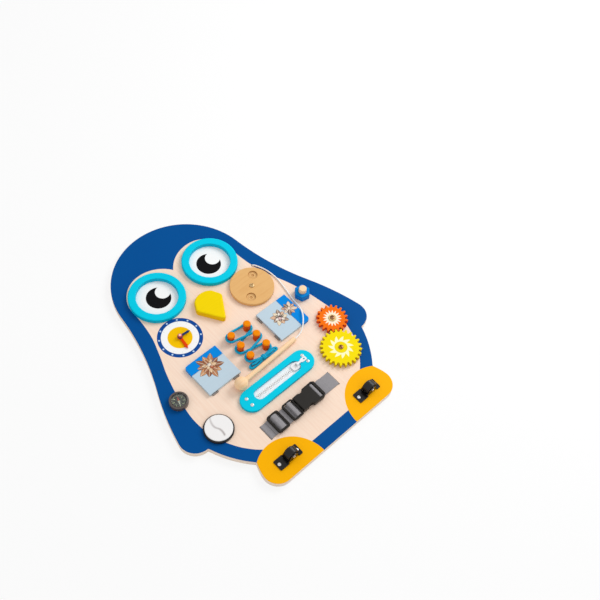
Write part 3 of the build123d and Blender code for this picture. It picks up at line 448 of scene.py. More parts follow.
belly = {
    "lobeX": 38.3,
    "lobeY": 283.0,
    "lobeRadius": 39.2,
    "browRadius": 46.2,  # the inner quarter of each lobe, down to the point between the eyes
    "top": 285.0,
    "bottom": 17.0,
    # half widths of the bare belly at heights up the board
    "sides": [(45.7, 77.9), (57.5, 89.5), (72.3, 99.7), (90.4, 107.8), (118.7, 113.1), (152.1, 109.4),
              (184.5, 101.5), (218.8, 88.8), (245.7, 80.7), (285.0, 77.0)],
    "reach": 150.0,
    "grain": (0.55, 0.022, 0.55),  # cells per mm, long up the board
    "figure": (0.16, 0.008, 0.16),
}
foot = {"x": 70.0, "halfWidth": 43.5, "top": 46.6}
eye = {"x": 42.1, "y": 281.0, "white": 31.0, "pupilX": 40.2, "pupilY": 280.7, "pupil": 15.65,
       "glint": 9.5, "glintOut": 9.2, "glintUp": 3.6}
clock = {"at": (-56.0, 219.5), "outer": 27.6, "inner": 22.9, "dial": 15.0, "hours": 12, "shift": 20.5,
         "dot": 1.15, "dotTone": tone(190, 216, 240),
         "tickIn": 2.2, "tickLong": 0.9, "tickWide": 0.25}  # half length and half width
plies = {"count": 5, "pale": tone(246, 232, 217), "dark": tone(228, 202, 180),
         "glue": tone(184, 146, 118), "glueFrom": 0.44}


def bellyMask(graph, x, y):
    across = abs(x)
    curve = [(height / board["height"], width / belly["reach"]) for height, width in belly["sides"]]
    width = graph.node("FloatCurve", {"curve": curve}, {"Value": y / board["height"]})
    trunk = (width * belly["reach"] - across).step()
    trunk = trunk.least(between(y, belly["bottom"], belly["top"]))
    lobe = circleMask(across, y, (belly["lobeX"], belly["lobeY"]), belly["lobeRadius"])
    lobe = lobe.least((across - belly["lobeX"]).step())
    crownY = belly["lobeY"] + belly["lobeRadius"] - belly["browRadius"]
    brow = circleMask(across, y, (belly["lobeX"], crownY), belly["browRadius"])
    brow = brow.least((y - belly["top"]).step()).least((belly["lobeX"] - across).step())
    return trunk.most(lobe).most(brow)


def footMask(x, y):
    out = (abs(x) - foot["x"]) / foot["halfWidth"]
    up = y / foot["top"]
    return ((1.0 - out * out - up * up) * (foot["halfWidth"] / 2)).step()


def printClock(graph, colour, x, y):
    distance, turn = span(x, y, clock["at"]), bearing(x, y, clock["at"])
    for radius, ink in (("outer", "ringBlue"), ("inner", "white"), ("dial", "dialYellow")):
        colour = graph.mix((clock[radius] - distance).step(), colour, paint[ink])
    ring = (clock["outer"] + clock["inner"]) / 2
    ahead = distance - ring
    aside = spokes(turn, clock["hours"], clock["shift"]) * (fullTurn / clock["hours"]) * ring
    dots = (clock["dot"] - (ahead * ahead + aside * aside) ** 0.5).step()
    colour = graph.mix(dots, colour, clock["dotTone"])
    tickAhead = abs(distance - (clock["inner"] - clock["tickIn"])) - clock["tickLong"]
    tick = (abs(aside) - clock["tickWide"]).most(tickAhead)
    return graph.mix((-tick).step() * 0.3, colour, paint["ringBlue"])


def printEye(graph, colour, x, y, side):
    pupil = (side * eye["pupilX"], eye["pupilY"])
    glint = (pupil[0] + eye["glintOut"], pupil[1] + eye["glintUp"])
    for centre, radius, ink in (((side * eye["x"], eye["y"]), "white", "white"), (pupil, "pupil", "ink"),
                                (glint, "glint", "white")):
        colour = graph.mix(circleMask(x, y, centre, eye[radius]), colour, paint[ink])
    return colour


def boardPrint():
    graph = Graph("boardPrint")
    x, y, z = graph.place()
    fibre = graph.noise(belly["grain"], detail=6.0, roughness=0.62)
    figure = graph.noise(belly["figure"], detail=3.0, offset=9.0)
    cloud = graph.noise(0.02, detail=3.0, offset=2.0)
    ripple = ((figure * 34.0).sine() + 1.0) * 0.5
    depth = (fibre - 0.4) * 1.1 + ripple * 0.32
    wood = graph.mix((depth * 0.8).clamped(), paint["belly"], paint["bellyShade"])
    coat = graph.mix((fibre - 0.4) * 0.5 + (cloud - 0.5) * 0.5, paint["blue"], paint["blueShade"])
    footCoat = graph.mix((fibre - 0.4) * 0.5, paint["feet"], paint["feetShade"])
    face = graph.mix(bellyMask(graph, x, y), coat, wood)
    face = graph.mix(footMask(x, y), face, footCoat)
    for side in (-1, 1):
        face = printEye(graph, face, x, y, side)
    face = printClock(graph, face, x, y)
    # edges and back stay bare: five plies, every second one cut across its grain
    level = (z + board["thickness"]) * (plies["count"] / board["thickness"])
    odd = level % 2.0 > 1.0
    length = graph.noise((0.25, 0.25, 6.0), detail=4.0, offset=1.0)
    edge = graph.mix(odd * 0.55 + (length - 0.5) * 0.6, plies["pale"], plies["dark"])
    seam = (abs(level.fraction() - 0.5) - plies["glueFrom"]).step(0.08)
    edge = graph.mix(seam * 0.5, edge, plies["glue"])
    edge = graph.mix((-graph.facing() - 0.7).step(), edge, wood)
    printed = (graph.facing() - 0.45).step(0.1).least((z + 0.5).step(0.1))
    rough = 0.5 + (fibre - 0.5) * 0.2 - printed * 0.08
    normal = graph.bump(fibre, 0.04, graph.edges(0.5)[1], 0.5)
    return graph.finish(graph.mix(printed, edge, face), roughness=rough, specular=0.05, normal=normal)


print("stage: board print")
dress(boardPrint(), "board")
# each paint with its side tone: a darker copy that woodPaint lays on upright faces as painted shade
for name, colour, side, pieces in (
        ("cyanPaint", tone(0, 212, 240), tone(0, 176, 208),
         ("left_eye_ring", "right_eye_ring", "zipper_frame")),
        ("beakPaint", tone(255, 222, 0), tone(240, 190, 0), ("beak",)),
        ("postPaint", tone(255, 146, 0), tone(232, 74, 4), ("lacing_posts",)),
        ("nutPaint", tone(0, 134, 218), tone(0, 112, 196), ("hex_nut",))):
    dress(woodPaint(name, colour, side), *pieces)
dress(woodPaint("hourPaint", tone(28, 60, 110), wear=0.1), "hour_hand")
dress(woodPaint("minutePaint", tone(240, 70, 0), wear=0.1), "minute_hand")
dress(bareWood("studWood", tone(238, 194, 142), (0.5, 0.5, 0.05), 9.0), "nut_stud")
dress(bareWood("malletWood", tone(248, 198, 140), (0.03, 0.35, 0.35), 11.0), "mallet_ball",
      "mallet_stick")

disc = {"at": (57.8, 217.7), "spotOut": 16.7, "spotTurn": 45.0,
        "rings": ((5.7, 0.35), (3.7, 0.25), (1.8, 0.3)),  # radius and half width, from the rim inwards
        "pale": tone(232, 184, 120), "dark": tone(216, 160, 96),
        "ringShadeTone": tone(176, 122, 62), "spotTone": tone(238, 196, 136)}


def turnedRingsAndShade(graph, colour, x, y):
    # the cutter's rings in the two finger dimples, drawn dark at each dimple's rim and round its eye:
    # turned marks and painted shade on the hollow's walls; each dimple is paler inside
    for turn in (0, 180):
        heading = radians(disc["spotTurn"] + turn)
        distance = span(x, y, (disc["at"][0] + disc["spotOut"] * cos(heading),
                               disc["at"][1] + disc["spotOut"] * sin(heading)))
        colour = graph.mix((disc["rings"][0][0] - distance).step() * 0.5, colour, disc["spotTone"])
        # dark rings: turned marks together with painted shade in the hollow
        for radius, width in disc["rings"]:
            line = (width - abs(distance - radius)).step(0.3)
            colour = graph.mix(line * 0.7, colour, disc["ringShadeTone"])
    return colour


dress(bareWood("discWood", disc["dark"], (0.03, 0.3, 0.3), 8.0, disc["pale"], gloss=0.12, roughness=0.42,
               decorate=turnedRingsAndShade), "spin_disc")

gears = {
    # side: a darker copy of each gear's colour, laid on its upright faces as painted shade
    "orange": {"at": (100.69, 117.34), "colour": tone(255, 118, 8), "side": tone(214, 66, 0),
               "rays": 16, "inner": 7.0, "outer": 11.8, "lean": 0.0, "bulge": 1.0, "soft": 0.3,
               "starTone": paint["cream"]},
    "yellow": {"at": (79.7, 80.8), "colour": tone(255, 230, 0), "side": tone(216, 180, 0),
               "rays": 11, "inner": 9.6, "outer": 15.8, "lean": 0.035, "bulge": 1.2, "soft": 0.4,
               "starTone": tone(255, 251, 200), "hub": (7.2, 7.9), "hubTone": tone(216, 200, 30)},
}


def gearPrint(gear):
    # a star whose points lean over as they go out; a gear with a hub also has a thin ring inside it
    def decorate(graph, colour, x, y):
        distance = span(x, y, gear["at"])
        turn = bearing(x, y, gear["at"]) + distance * gear["lean"]
        wave = abs(spokes(turn, gear["rays"])) * 2.0
        rim = gear["inner"] + wave ** gear["bulge"] * (gear["outer"] - gear["inner"])
        star = (rim - distance).step(gear["soft"])
        up = graph.facing() > paintedWood["uprightBelow"]
        if "hub" not in gear:
            return graph.mix(star * up, colour, gear["starTone"])
        low, high = gear["hub"]
        colour = graph.mix(star.least((distance - high).step()) * up, colour, gear["starTone"])
        return graph.mix(between(distance, low, high) * up * 0.7, colour, gear["hubTone"])

    return decorate


for label, gear in gears.items():
    dress(woodPaint(label + "GearPaint", gear["colour"], gear["side"], decorate=gearPrint(gear)),
          label + "_gear")
print("stage: painted wood")

panels = {"x": 56.5, "y": 158.7, "size": 47.0, "strip": 14.0, "outline": tone(74, 48, 38), "line": 0.35}
sprigs = {
    # rings of leaves: centre, count, first heading, length, width, colours
    # berries: centre, radius, colour
    "left": {
        "leaves": (((-55.8, 164.8), 10, 12, 17.0, 7.2, ((128, 80, 56), (160, 108, 74), (182, 132, 92))),
                   ((-55.8, 164.8), 7, 40, 10.5, 5.2, ((204, 164, 126), (150, 96, 66)))),
        "berries": (((-55.0, 166.6), 2.3, (236, 220, 198)), ((-58.4, 163.8), 2.0, (222, 190, 156)),
                    ((-54.2, 162.4), 2.1, (180, 98, 66)))},
    "right": {
        "leaves": (((70.6, 163.0), 8, 10, 10.0, 5.2, ((168, 128, 108), (206, 180, 160), (104, 88, 82))),
                   ((52.6, 160.6), 9, 24, 11.5, 5.8, ((186, 146, 116), (134, 112, 100), (214, 190, 166))),
                   ((52.6, 160.6), 6, 0, 6.6, 3.8, ((96, 84, 82), (224, 208, 196)))),
        "berries": (((52.0, 159.6), 1.9, (222, 184, 184)), ((54.4, 161.8), 1.5, (84, 74, 74)),
                    ((70.4, 163.2), 1.9, (232, 216, 204)))},
}


def leafRing(centre, count, start, length, width, inks):
    # leaves that fan out all round one point, long and short in turn
    for number in range(count):
        heading = start + 360 * number / count
        out = radians(heading)
        foot = (centre[0] + 0.8 * cos(out), centre[1] + 0.8 * sin(out))
        yield foot, out, length * (1.0 if number % 2 else 0.84), width, tone(*inks[number % len(inks)])


def printLeaf(graph, colour, x, y, leaf, mottle):
    # a pointed leaf from its foot along its heading: dark outline, mottled blade, pale mid rib
    foot, heading, length, width, ink = leaf
    c, s = cos(heading), sin(heading)
    dx, dy = x - foot[0], y - foot[1]
    along = (dx * c + dy * s) / length
    aside = abs(dy * c - dx * s)
    inside = along * (1.0 - along) * (width * 2.0) - aside
    blade = graph.mix((mottle - 0.35) * 1.6 + aside * 0.12, ink, scaled(ink, 1.8, 0.03))
    colour = graph.mix(inside.step(0.25), colour, panels["outline"])
    colour = graph.mix((inside - panels["line"]).step(0.25), colour, blade)
    rib = (0.3 - aside).step(0.25) * (inside - 0.4).step(0.2)
    return graph.mix(rib * 0.7, colour, paint["cream"])


def printSprig(graph, colour, x, y, sprig):
    mottle = graph.noise(0.7, detail=5.0, offset=6.0)
    for ring in sprig["leaves"]:
        for leaf in leafRing(*ring):
            colour = printLeaf(graph, colour, x, y, leaf, mottle)
    for centre, radius, ink in sprig["berries"]:
        distance = span(x, y, centre)
        shine = span(x, y, (centre[0] + radius * 0.3, centre[1] + radius * 0.35))
        colour = graph.mix((radius + 0.3 - distance).step(0.25), colour, panels["outline"])
        colour = graph.mix((radius - distance).step(0.25), colour, tone(*ink))
        colour = graph.mix((radius * 0.35 - shine).step(0.3) * 0.8, colour, paint["cream"])
    return colour


def panelPaint(side):
    # the left panel's strip lies along its top edge, the right one's along its outer edge
    edge = panels["size"] / 2 - panels["strip"]

    def decorate(graph, colour, x, y):
        past = y - (panels["y"] + edge) if side == "left" else x - (panels["x"] + edge)
        colour = graph.mix(past.step(0.05), colour, paint["stripBlue"])
        up = (graph.facing() - 0.6).step(0.1)
        return graph.mix(up, colour, printSprig(graph, colour, x, y, sprigs[side]))

    return woodPaint(side + "PanelPaint", paint["flapBlue"], shade=0.95, wear=0.15, decorate=decorate)


for side in ("left", "right"):
    dress(panelPaint(side), side + "_flap", side + "_flap_strip")
print("stage: flap panels")

steel = metal("steelFinish", tone(204, 202, 201), 0.34)
dress(steel, "pivot_washers", "left_roller_axle", "right_roller_axle")
dress(metal("hingeSteel", tone(146, 138, 134), 0.42), "left_hinge_fixed", "right_hinge_fixed",
      "left_hinge_moving", "right_hinge_moving")
dress(metal("brassFinish", tone(206, 176, 120), 0.3), "cup_washer")
dress(metal("pivotBrass", tone(200, 170, 110), 0.3), "compass_pivot")

zipper = {"x": -7.5, "y": 98.9}
rollers = {"x": 63.4, "y": 20.5, "offset": 3.6, "axis": 6.4, "hub": 3.6, "hubDepth": 3.6,
           "tyre": (tone(15, 14, 16), tone(40, 38, 40)), "hubTone": tone(244, 240, 234)}
screws = {
    "around": 48,
    "domeRings": 11,
    "pivot": {"radius": 3.0, "height": 1.5, "shank": 1.7},
    # where the heads sit: across, up the board, and the level under each head
    "pivotSpots": ((*disc["at"], 5.0), (*gears["yellow"]["at"], 6.0), (*gears["orange"]["at"], 7.2)),
    "brassAbove": 170.0,  # only the turning disc's screw lies higher up the board
    "small": {"radius": 2.1, "height": 0.8, "shank": 1.4},
    "depth": 5.0,
    "crossArm": 0.62,  # of the head's radius
    "crossHalf": 0.15,
    "crossDepth": 0.6,  # of the head's height
    "crossSoft": (0.12, 0.2),  # run of the recess's sides and of its ends
    "frameSpots": [(zipper["x"] + sideX * 44.3, zipper["y"] + sideY * 5.0, 4.0)
                   for sideX in (-1, 1) for sideY in (-1, 1)],
    "rollerSpots": [(side * rollers["x"] + out * 13.2, rollers["y"], 1.0)
                    for side in (-1, 1) for out in (-1, 1)],
}


def screwBody(x, y, base, kind, turn):
    # a domed head with a cross recess on a plain shank
    radius, height, shank = kind["radius"], kind["height"], kind["shank"]
    softSide, softEnd = screws["crossSoft"]

    def ring(reach, level):
        spots = []
        for step in range(screws["around"]):
            heading = fullTurn * step / screws["around"]
            across, along = reach * cos(heading - turn), reach * sin(heading - turn)
            narrow, wide = sorted((abs(across), abs(along)))
            cut = min(1.0, max(0.0, (screws["crossHalf"] * radius - narrow) / softSide + 0.5))
            cut *= min(1.0, max(0.0, (screws["crossArm"] * radius - wide) / softEnd + 0.5))
            if reach > 0.9 * radius:
                cut = 0.0
            z = level - cut * screws["crossDepth"] * height
            spots.append(onBoard(x + reach * cos(heading), y + reach * sin(heading), z))
        return spots

    rings = [ring(shank, -screws["depth"]), ring(shank, base), ring(radius, base),
             ring(radius, base + height * 0.3)]
    for step in range(screws["domeRings"]):
        share = 0.97 - 0.93 * step / (screws["domeRings"] - 1)
        crown = sqrt(1 - share * share) ** 0.8
        rings.append(ring(radius * share, base + height * (0.35 + 0.65 * crown)))
    return skin(rings)


def pivotMetal():
    # brass at the turning disc, browned steel at the gears
    graph = Graph("pivotMetal")
    x, y, z = graph.place()
    brush = graph.noise(1.5, detail=3.0)
    colour = graph.mix((y - screws["brassAbove"]).step(), tone(150, 108, 78), tone(196, 168, 124))
    colour = graph.mix((brush - 0.45) * 0.6, colour, tone(92, 66, 48))
    return graph.finish(colour, roughness=0.34 + (brush - 0.5) * 0.2, metallic=1.0)


addPiece("cross_screws_pivot", *joined([screwBody(*spot, screws["pivot"], 0.4 + number)
                                        for number, spot in enumerate(screws["pivotSpots"])]),
         pivotMetal(), "board", "steel", ["pivot_screws"], creases=40)
for place, replaced, first in (("frame", "zipper_screws", 0), ("roller", "roller_screws", 4)):
    made = [screwBody(*spot, screws["small"], 0.7 * number)
            for number, spot in enumerate(screws[place + "Spots"], first)]
    addPiece("cross_screws_" + place, *joined(made), steel, "board", "steel", [replaced], creases=40)

teethPlastic = plastic("teethPlastic", tone(252, 251, 251), 0.4)
dress(teethPlastic, "zipper_stops")
for name, colour, roughness, gloss, pieces in (
        ("sliderEnamel", tone(240, 240, 242), 0.28, 0.45, ("zipper_slider", "pull_tab")),
        ("bracketBlack", tone(12, 10, 10), 0.2, 0.3, ("left_roller_bracket", "right_roller_bracket")),
        ("mirrorBlack", tone(26, 25, 26), 0.34, 0.25, ("mirror_backing",)),
        ("compassBlack", tone(82, 71, 66), 0.24, 0.5, ("compass_case",))):
    dress(plastic(name, colour, roughness, gloss), *pieces)
dress(plastic("bucklePlastic", tone(36, 33, 30), 0.4, 0.16, bumps=0.03), "buckle_male", "buckle_female",
      "tri_glide")


def knobPaint():
    graph = Graph("knobPaint")
    x, y, z = graph.place()
    dull = graph.noise(1.0, detail=2.0)
    glint = (1.5 - span(x, y, clock["at"])).step(0.8)
    colour = graph.mix(glint, tone(206, 70, 60), tone(255, 214, 204))
    colour = graph.mix((dull - 0.4) * 0.4, colour, tone(190, 60, 50))
    return graph.finish(colour, roughness=0.3 + (dull - 0.5) * 0.1, specular=0.4)


dress(knobPaint(), "clock_pin")

compass = {
    "at": (-111.6, 153.2),
    "marks": ((24, 6.6, 7.6, 0.16), (8, 4.6, 7.6, 0.34)),  # count, inner and outer radius, half width
    "rim": 7.7,
    "heading": 70,  # the needle's red end, in degrees
    "field": (tone(20, 34, 22), tone(44, 62, 34)),
    "markTone": tone(206, 220, 160),
    "rimTone": tone(180, 184, 170),
}


def compassCard():
    graph = Graph("compassDial")
    x, y, z = graph.place()
    distance, turn = span(x, y, compass["at"]), bearing(x, y, compass["at"])
    dust = graph.noise(1.5, detail=3.0)
    colour = graph.mix((dust - 0.4) * 0.8, *compass["field"])
    for count, low, high, half in compass["marks"]:
        away = spokes(turn, count) * (fullTurn / count)
        mark = (half - abs(away * distance)).step(0.12).least(between(distance, low, high, 0.15))
        colour = graph.mix(mark, colour, compass["markTone"])
    colour = graph.mix((distance - compass["rim"]).step(0.2), colour, compass["rimTone"])
    return graph.finish(colour, roughness=0.5 + (dust - 0.5) * 0.2)


def compassNeedle():
    graph = Graph("needlePaint")
    x, y, z = graph.place()
    heading = radians(compass["heading"])
    along = (x - compass["at"][0]) * cos(heading) + (y - compass["at"][1]) * sin(heading)
    dust = graph.noise(2.0, detail=2.0)
    colour = graph.mix(along.step(0.2), tone(226, 230, 206), tone(186, 52, 30))
    return graph.finish(colour, roughness=0.35 + (dust - 0.5) * 0.15)


def clearGlass():
    graph = Graph("lensClear")
    haze = graph.noise(0.3, detail=2.0)
    return graph.finish(tone(250, 252, 250), roughness=0.02 + haze * 0.03, transmission=1.0, ior=1.49)


dress(compassCard(), "compass_card")
dress(compassNeedle(), "compass_needle")
dress(clearGlass(), "compass_lens")

mirror = {
    # the painted reflection line's course from its low end: height up the board, place across it
    "reflectionLine": [(85.5, -100.2), (94.8, -99.6), (100.4, -102.3), (108.0, -101.7), (114.5, -97.7)],
    "left": -120.0,  # where the curve's own scale starts across the board, and how wide it is
    "width": 40.0,
    "reflectionLineHalf": 1.0,
    "reflectionLineSoft": 2.0,
    "film": (tone(242, 240, 239), tone(230, 229, 229)),
    "reflectionLineTone": tone(162, 152, 150),
}


def mirrorFace():
    # bright film with one soft painted reflection line that wanders across it, fading towards its top end
    graph = Graph("mirrorFilm")
    x, y, z = graph.place()
    low, high = mirror["reflectionLine"][0][0], mirror["reflectionLine"][-1][0]
    curve = [((up - low) / (high - low), (out - mirror["left"]) / mirror["width"])
             for up, out in mirror["reflectionLine"]]
    along = (y - low) / (high - low)
    line = graph.node("FloatCurve", {"curve": curve}, {"Value": along})
    away = abs(x - (line * mirror["width"] + mirror["left"]))
    soft = mirror["reflectionLineSoft"]
    # painted reflection: a grey line drawn along that course, which also gives a slight bump
    reflectionLine = (mirror["reflectionLineHalf"] - away).step(soft) * between(y, low, high, soft) * (1.15 - along * 0.6)
    cloud = graph.noise(0.06, detail=2.0)
    colour = graph.mix((cloud - 0.4) * 0.6, *mirror["film"])
    colour = graph.mix(reflectionLine * 0.85, colour, mirror["reflectionLineTone"])
    normal = graph.bump(reflectionLine, 0.12, None, 0.5)
    return graph.finish(colour, roughness=0.3 + (cloud - 0.5) * 0.1, metallic=0.3, normal=normal)


dress(mirrorFace(), "mirror_plate")


def tyrePaint(name, side):
    # black tyre, pale hub faces: the hub's own light colour, made brighter as a painted glint
    graph = Graph(name)
    x, y, z = graph.place()
    distance = span(x, z, (side * rollers["x"] + rollers["offset"], rollers["axis"]))
    faceOn = (abs(y - rollers["y"]) - rollers["hubDepth"]).step()
    hub = (rollers["hub"] - distance).step().least(faceOn)
    scuff = graph.noise(0.6, detail=4.0)
    colour = graph.mix((scuff - 0.45) * 0.7, *rollers["tyre"])
    # pale hub: the hub's colour together with a painted glint
    colour = graph.mix(hub, colour, rollers["hubTone"])
    rough = 0.32 + (scuff - 0.5) * 0.3
    return graph.finish(colour, roughness=rough, specular=0.3, normal=graph.bump(scuff, 0.03))


for label, side in (("left", -1), ("right", 1)):
    dress(tyrePaint(label + "Tyre", side), label + "_roller_wheel")
print("stage: hardware")

webbing = {
    "y": 58.6,
    "width": 20.0,
    "thickness": 1.2,
    "lift": 0.1,
    "seat": 0.2,
    "leftSlot": -62.0,
    "rightSlot": 45.3,
    "below": 5.0,
    "across": 40,
    "step": 0.4,
    "selvedge": 0.06,  # share of the half width that is rounded off
    "rib": 0.05,
    "ribPitch": 1.5,
    "bend": 1.0,
}
buckle = {
    "glideX": -43.5, "glideLength": 17.0, "beforeGlide": 2.5,
    "glide": {"bar": 3.6, "height": 2.2, "slope": (3.4, 0.4)},
    "maleEnd": -29.0, "maleRim": 2.4, "maleNear": 5.5, "pastMale": 4.8,
    "male": {"bar": 2.6, "height": 2.4, "slope": (1.5, 0.7)},
    "femaleEnd": 21.6, "femaleRim": 3.2, "femaleSlot": 5.2, "tail": 9.0,
    "female": {"bar": 1.8, "height": 4.4},
}


def softCorners(points, radius, steps=6):
    # a polyline in x and z with its corners turned into short arcs
    path = [Vector(points[0])]
    for before, here, after in zip(points, points[1:], points[2:]):
        before, here, after = Vector(before), Vector(here), Vector(after)
        back, ahead = (before - here), (after - here)
        reach = min(radius, back.length * 0.45, ahead.length * 0.45)
        start, end = here + back.normalized() * reach, here + ahead.normalized() * reach
        for step in range(steps + 1):
            share = step / steps
            path.append(start.lerp(here, share).lerp(here.lerp(end, share), share))
    path.append(Vector(points[-1]))
    return path


def webbingMesh(points):
    # a woven strap: ribs run along it, and its selvedges are round
    path = evenly(softCorners([(x, 0.0, z) for x, z in points], webbing["bend"]), webbing["step"])
    half, thick, count = webbing["width"] / 2, webbing["thickness"] / 2, webbing["across"]
    rings, run = [], 0.0
    for index, point in enumerate(path):
        before, after = path[max(index - 1, 0)], path[min(index + 1, len(path) - 1)]
        heading = (after - before).normalized()
        normal = Vector((-heading.z, 0.0, heading.x))
        run += (point - before).length
        ring = []
        for side in (1, -1):
            for number in range(count + 1):
                share = number / count * 2 - 1
                edge = max(0.0, abs(share) - 1 + webbing["selvedge"]) / webbing["selvedge"]
                height = thick * (1 - 0.75 * edge * edge)
                zigzag = abs((share * 5) % 2 - 1) * 0.9
                chevron = sin(fullTurn * (run / webbing["ribPitch"] + zigzag))
                height += webbing["rib"] * (chevron * 0.5 - 0.5) * (1 - edge)
                spot = point + normal * height * side
                ring.append(onBoard(spot.x, webbing["y"] - share * half * side, spot.z))
        rings.append(ring)
    return skin(rings)


beside = webbing["seat"] + webbing["thickness"] / 2  # from a bar's face to the strap's middle
groundLevel = webbing["lift"] + webbing["thickness"] / 2
webbingTop = webbing["lift"] + webbing["thickness"]
returnLevel = webbingTop + beside
hardwareBase = returnLevel + beside
maleBarLeft = buckle["maleEnd"] + buckle["maleRim"] + buckle["maleNear"]


def leftRunPoints():
    slot, end = webbing["leftSlot"], maleBarLeft + buckle["male"]["bar"]
    return [(slot, -webbing["below"]), (slot, groundLevel), (end, groundLevel)]


def upperRunPoints():
    # over the tri-glide's bar and over the plug half's
    points = [(buckle["glideX"] - buckle["glideLength"] / 2 - buckle["beforeGlide"], returnLevel)]
    for part, left in (("glide", buckle["glideX"] - buckle["glide"]["bar"] / 2), ("male", maleBarLeft)):
        right = left + buckle[part]["bar"]
        foot, top = buckle[part]["slope"]
        over = hardwareBase + buckle[part]["height"] + beside
        points += [(left - foot, returnLevel), (left - top, over), (right + top, over),
                   (right + foot, returnLevel)]
    points.append((right + buckle["pastMale"], returnLevel))
    return points


def rightRunPoints():
    barLeft = (buckle["femaleEnd"] - buckle["femaleRim"] - buckle["femaleSlot"] + 2 * webbing["seat"]
               + webbing["thickness"])
    barRight = barLeft + buckle["female"]["bar"]
    over = webbingTop + webbing["seat"] + buckle["female"]["height"] + beside
    return [(webbing["rightSlot"], -webbing["below"]), (webbing["rightSlot"], groundLevel),
            (barLeft - beside, groundLevel), (barLeft - beside, over), (barRight + beside, over),
            (barRight + beside, returnLevel), (buckle["femaleEnd"] + buckle["tail"], returnLevel)]


strapWeave = woven("strapWeave", tone(150, 147, 150), 0.9, 1.3, 0.12)
for name, points, body, replaced in (("left", leftRunPoints(), "board", "left_strap"),
                                     ("upper", upperRunPoints(), "buckle_male", "left_strap_return"),
                                     ("right", rightRunPoints(), "board", "right_strap")):
    addPiece(f"webbing_{name}_run", *webbingMesh(points), strapWeave, body, "webbing_grey", [replaced])
print("stage: webbing")

tape = {"length": 78.0, "inner": 2.2, "width": 7.0, "thickness": 0.7, "step": 0.5, "across": 18,
        "ribs": 14, "ribHeight": 0.05, "pick": 1.4, "below": 0.12, "base": 0.02}


def tapeMesh(side):
    # a strip of woven tape: ribs along it, crossed by its picks, with a flat outer selvedge
    rings, count = [], round(tape["length"] / tape["step"])
    for index in range(count + 1):
        x = zipper["x"] - tape["length"] / 2 + tape["length"] * index / count
        wave = sin(fullTurn * index * tape["step"] / tape["pick"])
        top, bottom = [], []
        for number in range(tape["across"] + 1):
            share = number / tape["across"]
            y = zipper["y"] + side * (tape["inner"] + tape["width"] * share)
            rib = tape["ribHeight"] * cos(pi * share * tape["ribs"]) * wave * (share < 0.9)
            top.append(onBoard(x, y, tape["thickness"] - tape["below"] + rib))
            bottom.append(onBoard(x, y, tape["base"]))
        rings.append(top + bottom[::-1])
    return skin(rings)


chain = {
    "pitch": 2.5,
    "count": 26,
    "middle": 0.35,
    "bead": (1.4, 2.2),
    "beadHalf": 0.95,
    "around": 12,
    # each tooth: distance from the centre line, half width along the chain, half height
    "profile": ((2.1, 0.6, 0.85), (1.4, 0.95, 0.96), (0.8, 1.06, 1.0), (0.42, 1.06, 0.98),
                (0.26, 0.96, 0.9), (0.16, 0.74, 0.72)),
}


def roundedSection(x, y, halfX, halfZ):
    # one cross section of a tooth: a box with its corners well rounded
    spots = []
    for step in range(chain["around"]):
        turn = fullTurn * (step + 0.5) / chain["around"]
        c, s = cos(turn), sin(turn)
        swell = 1 / max(abs(c), abs(s)) ** 0.7
        spots.append(onBoard(x + halfX * c * swell, y, chain["middle"] + halfZ * s * swell))
    return spots


def chainMesh(side):
    # moulded teeth on their bead; the two rows stagger and meet along the centre line
    bodies = []
    for index in range(chain["count"]):
        x = zipper["x"] + (index + 0.5 - chain["count"] / 2 + side * 0.25) * chain["pitch"]
        bodies.append(skin([roundedSection(x, zipper["y"] + side * out, halfX, halfZ)
                            for out, halfX, halfZ in chain["profile"]]))
    low, high = chain["bead"]
    half = chain["count"] * chain["pitch"] / 2
    rings = []
    for step in range(chain["count"] * 4 + 1):
        x = zipper["x"] - half + step * chain["pitch"] / 4
        tall = chain["beadHalf"] * (1.0 if step % 4 == 2 else 0.9)
        ring = []
        for number in range(chain["around"]):
            turn = fullTurn * number / chain["around"]
            y = (low + high) / 2 + (high - low) / 2 * cos(turn)
            ring.append(onBoard(x, zipper["y"] + side * y, chain["middle"] + tall * sin(turn)))
        rings.append(ring)
    return joined(bodies + [skin(rings)])


tapeWeave = woven("tapeWeave", tone(250, 250, 251), 1.6, 1.6, 0.06, contrast=0.95)
for label, side in (("upper", 1), ("lower", -1)):
    addPiece("moulded_teeth_" + label, *chainMesh(side), teethPlastic, "board", "teeth_white",
             ["zipper_teeth_" + label], creases=50)
for label, side in (("upper", 1), ("lower", -1)):
    addPiece("woven_tape_" + label, *tapeMesh(side), tapeWeave, "board", "tape_white",
             ["zipper_tape_" + label])
print("stage: zipper")

lacing = {
    "column": 12.5,
    "rows": (141.6, 159.0, 176.4),
    "wrap": 5.9,
    "low": 2.6,
    "high": 6.2,
    "radius": 1.6,
    "step": 0.45,
    "carriers": 8,
    "lay": 5.2,
    "relief": 0.16,
    "knot": (0.5, 132.1),
    "knotLength": 5.0,
    "knotWrap": {"points": 60, "turns": 1.6, "length": 3.0, "half": (2.5, 2.3)},
    "bow": 21.0,
    # a loop from the knot and back: share of the bow's reach, place up the board, height
    "loop": ((0.0, 0.9, 4.4), (0.22, 1.9, 3.4), (0.55, 2.9, 2.2), (0.9, 2.6, 2.0), (1.02, 0.1, 1.9),
             (0.88, -2.3, 1.9), (0.5, -2.5, 2.2), (0.2, -1.6, 3.2), (0.0, -0.9, 4.4)),
    "ends": (((0.6, 0.0, 4.6), (5.0, 0.3, 5.2), (9.5, -0.5, 5.0), (13.5, 0.3, 4.9), (17.0, -1.0, 4.4)),
             ((-0.6, 0.0, 4.6), (-5.0, -0.3, 5.2), (-9.5, 0.6, 5.0), (-13.5, -0.3, 4.9),
              (-17.5, 1.4, 4.4))),
    "spacing": 0.6,  # of the route before its corners are eased
    "easing": 6,
    "intoKnot": 0.3,
}


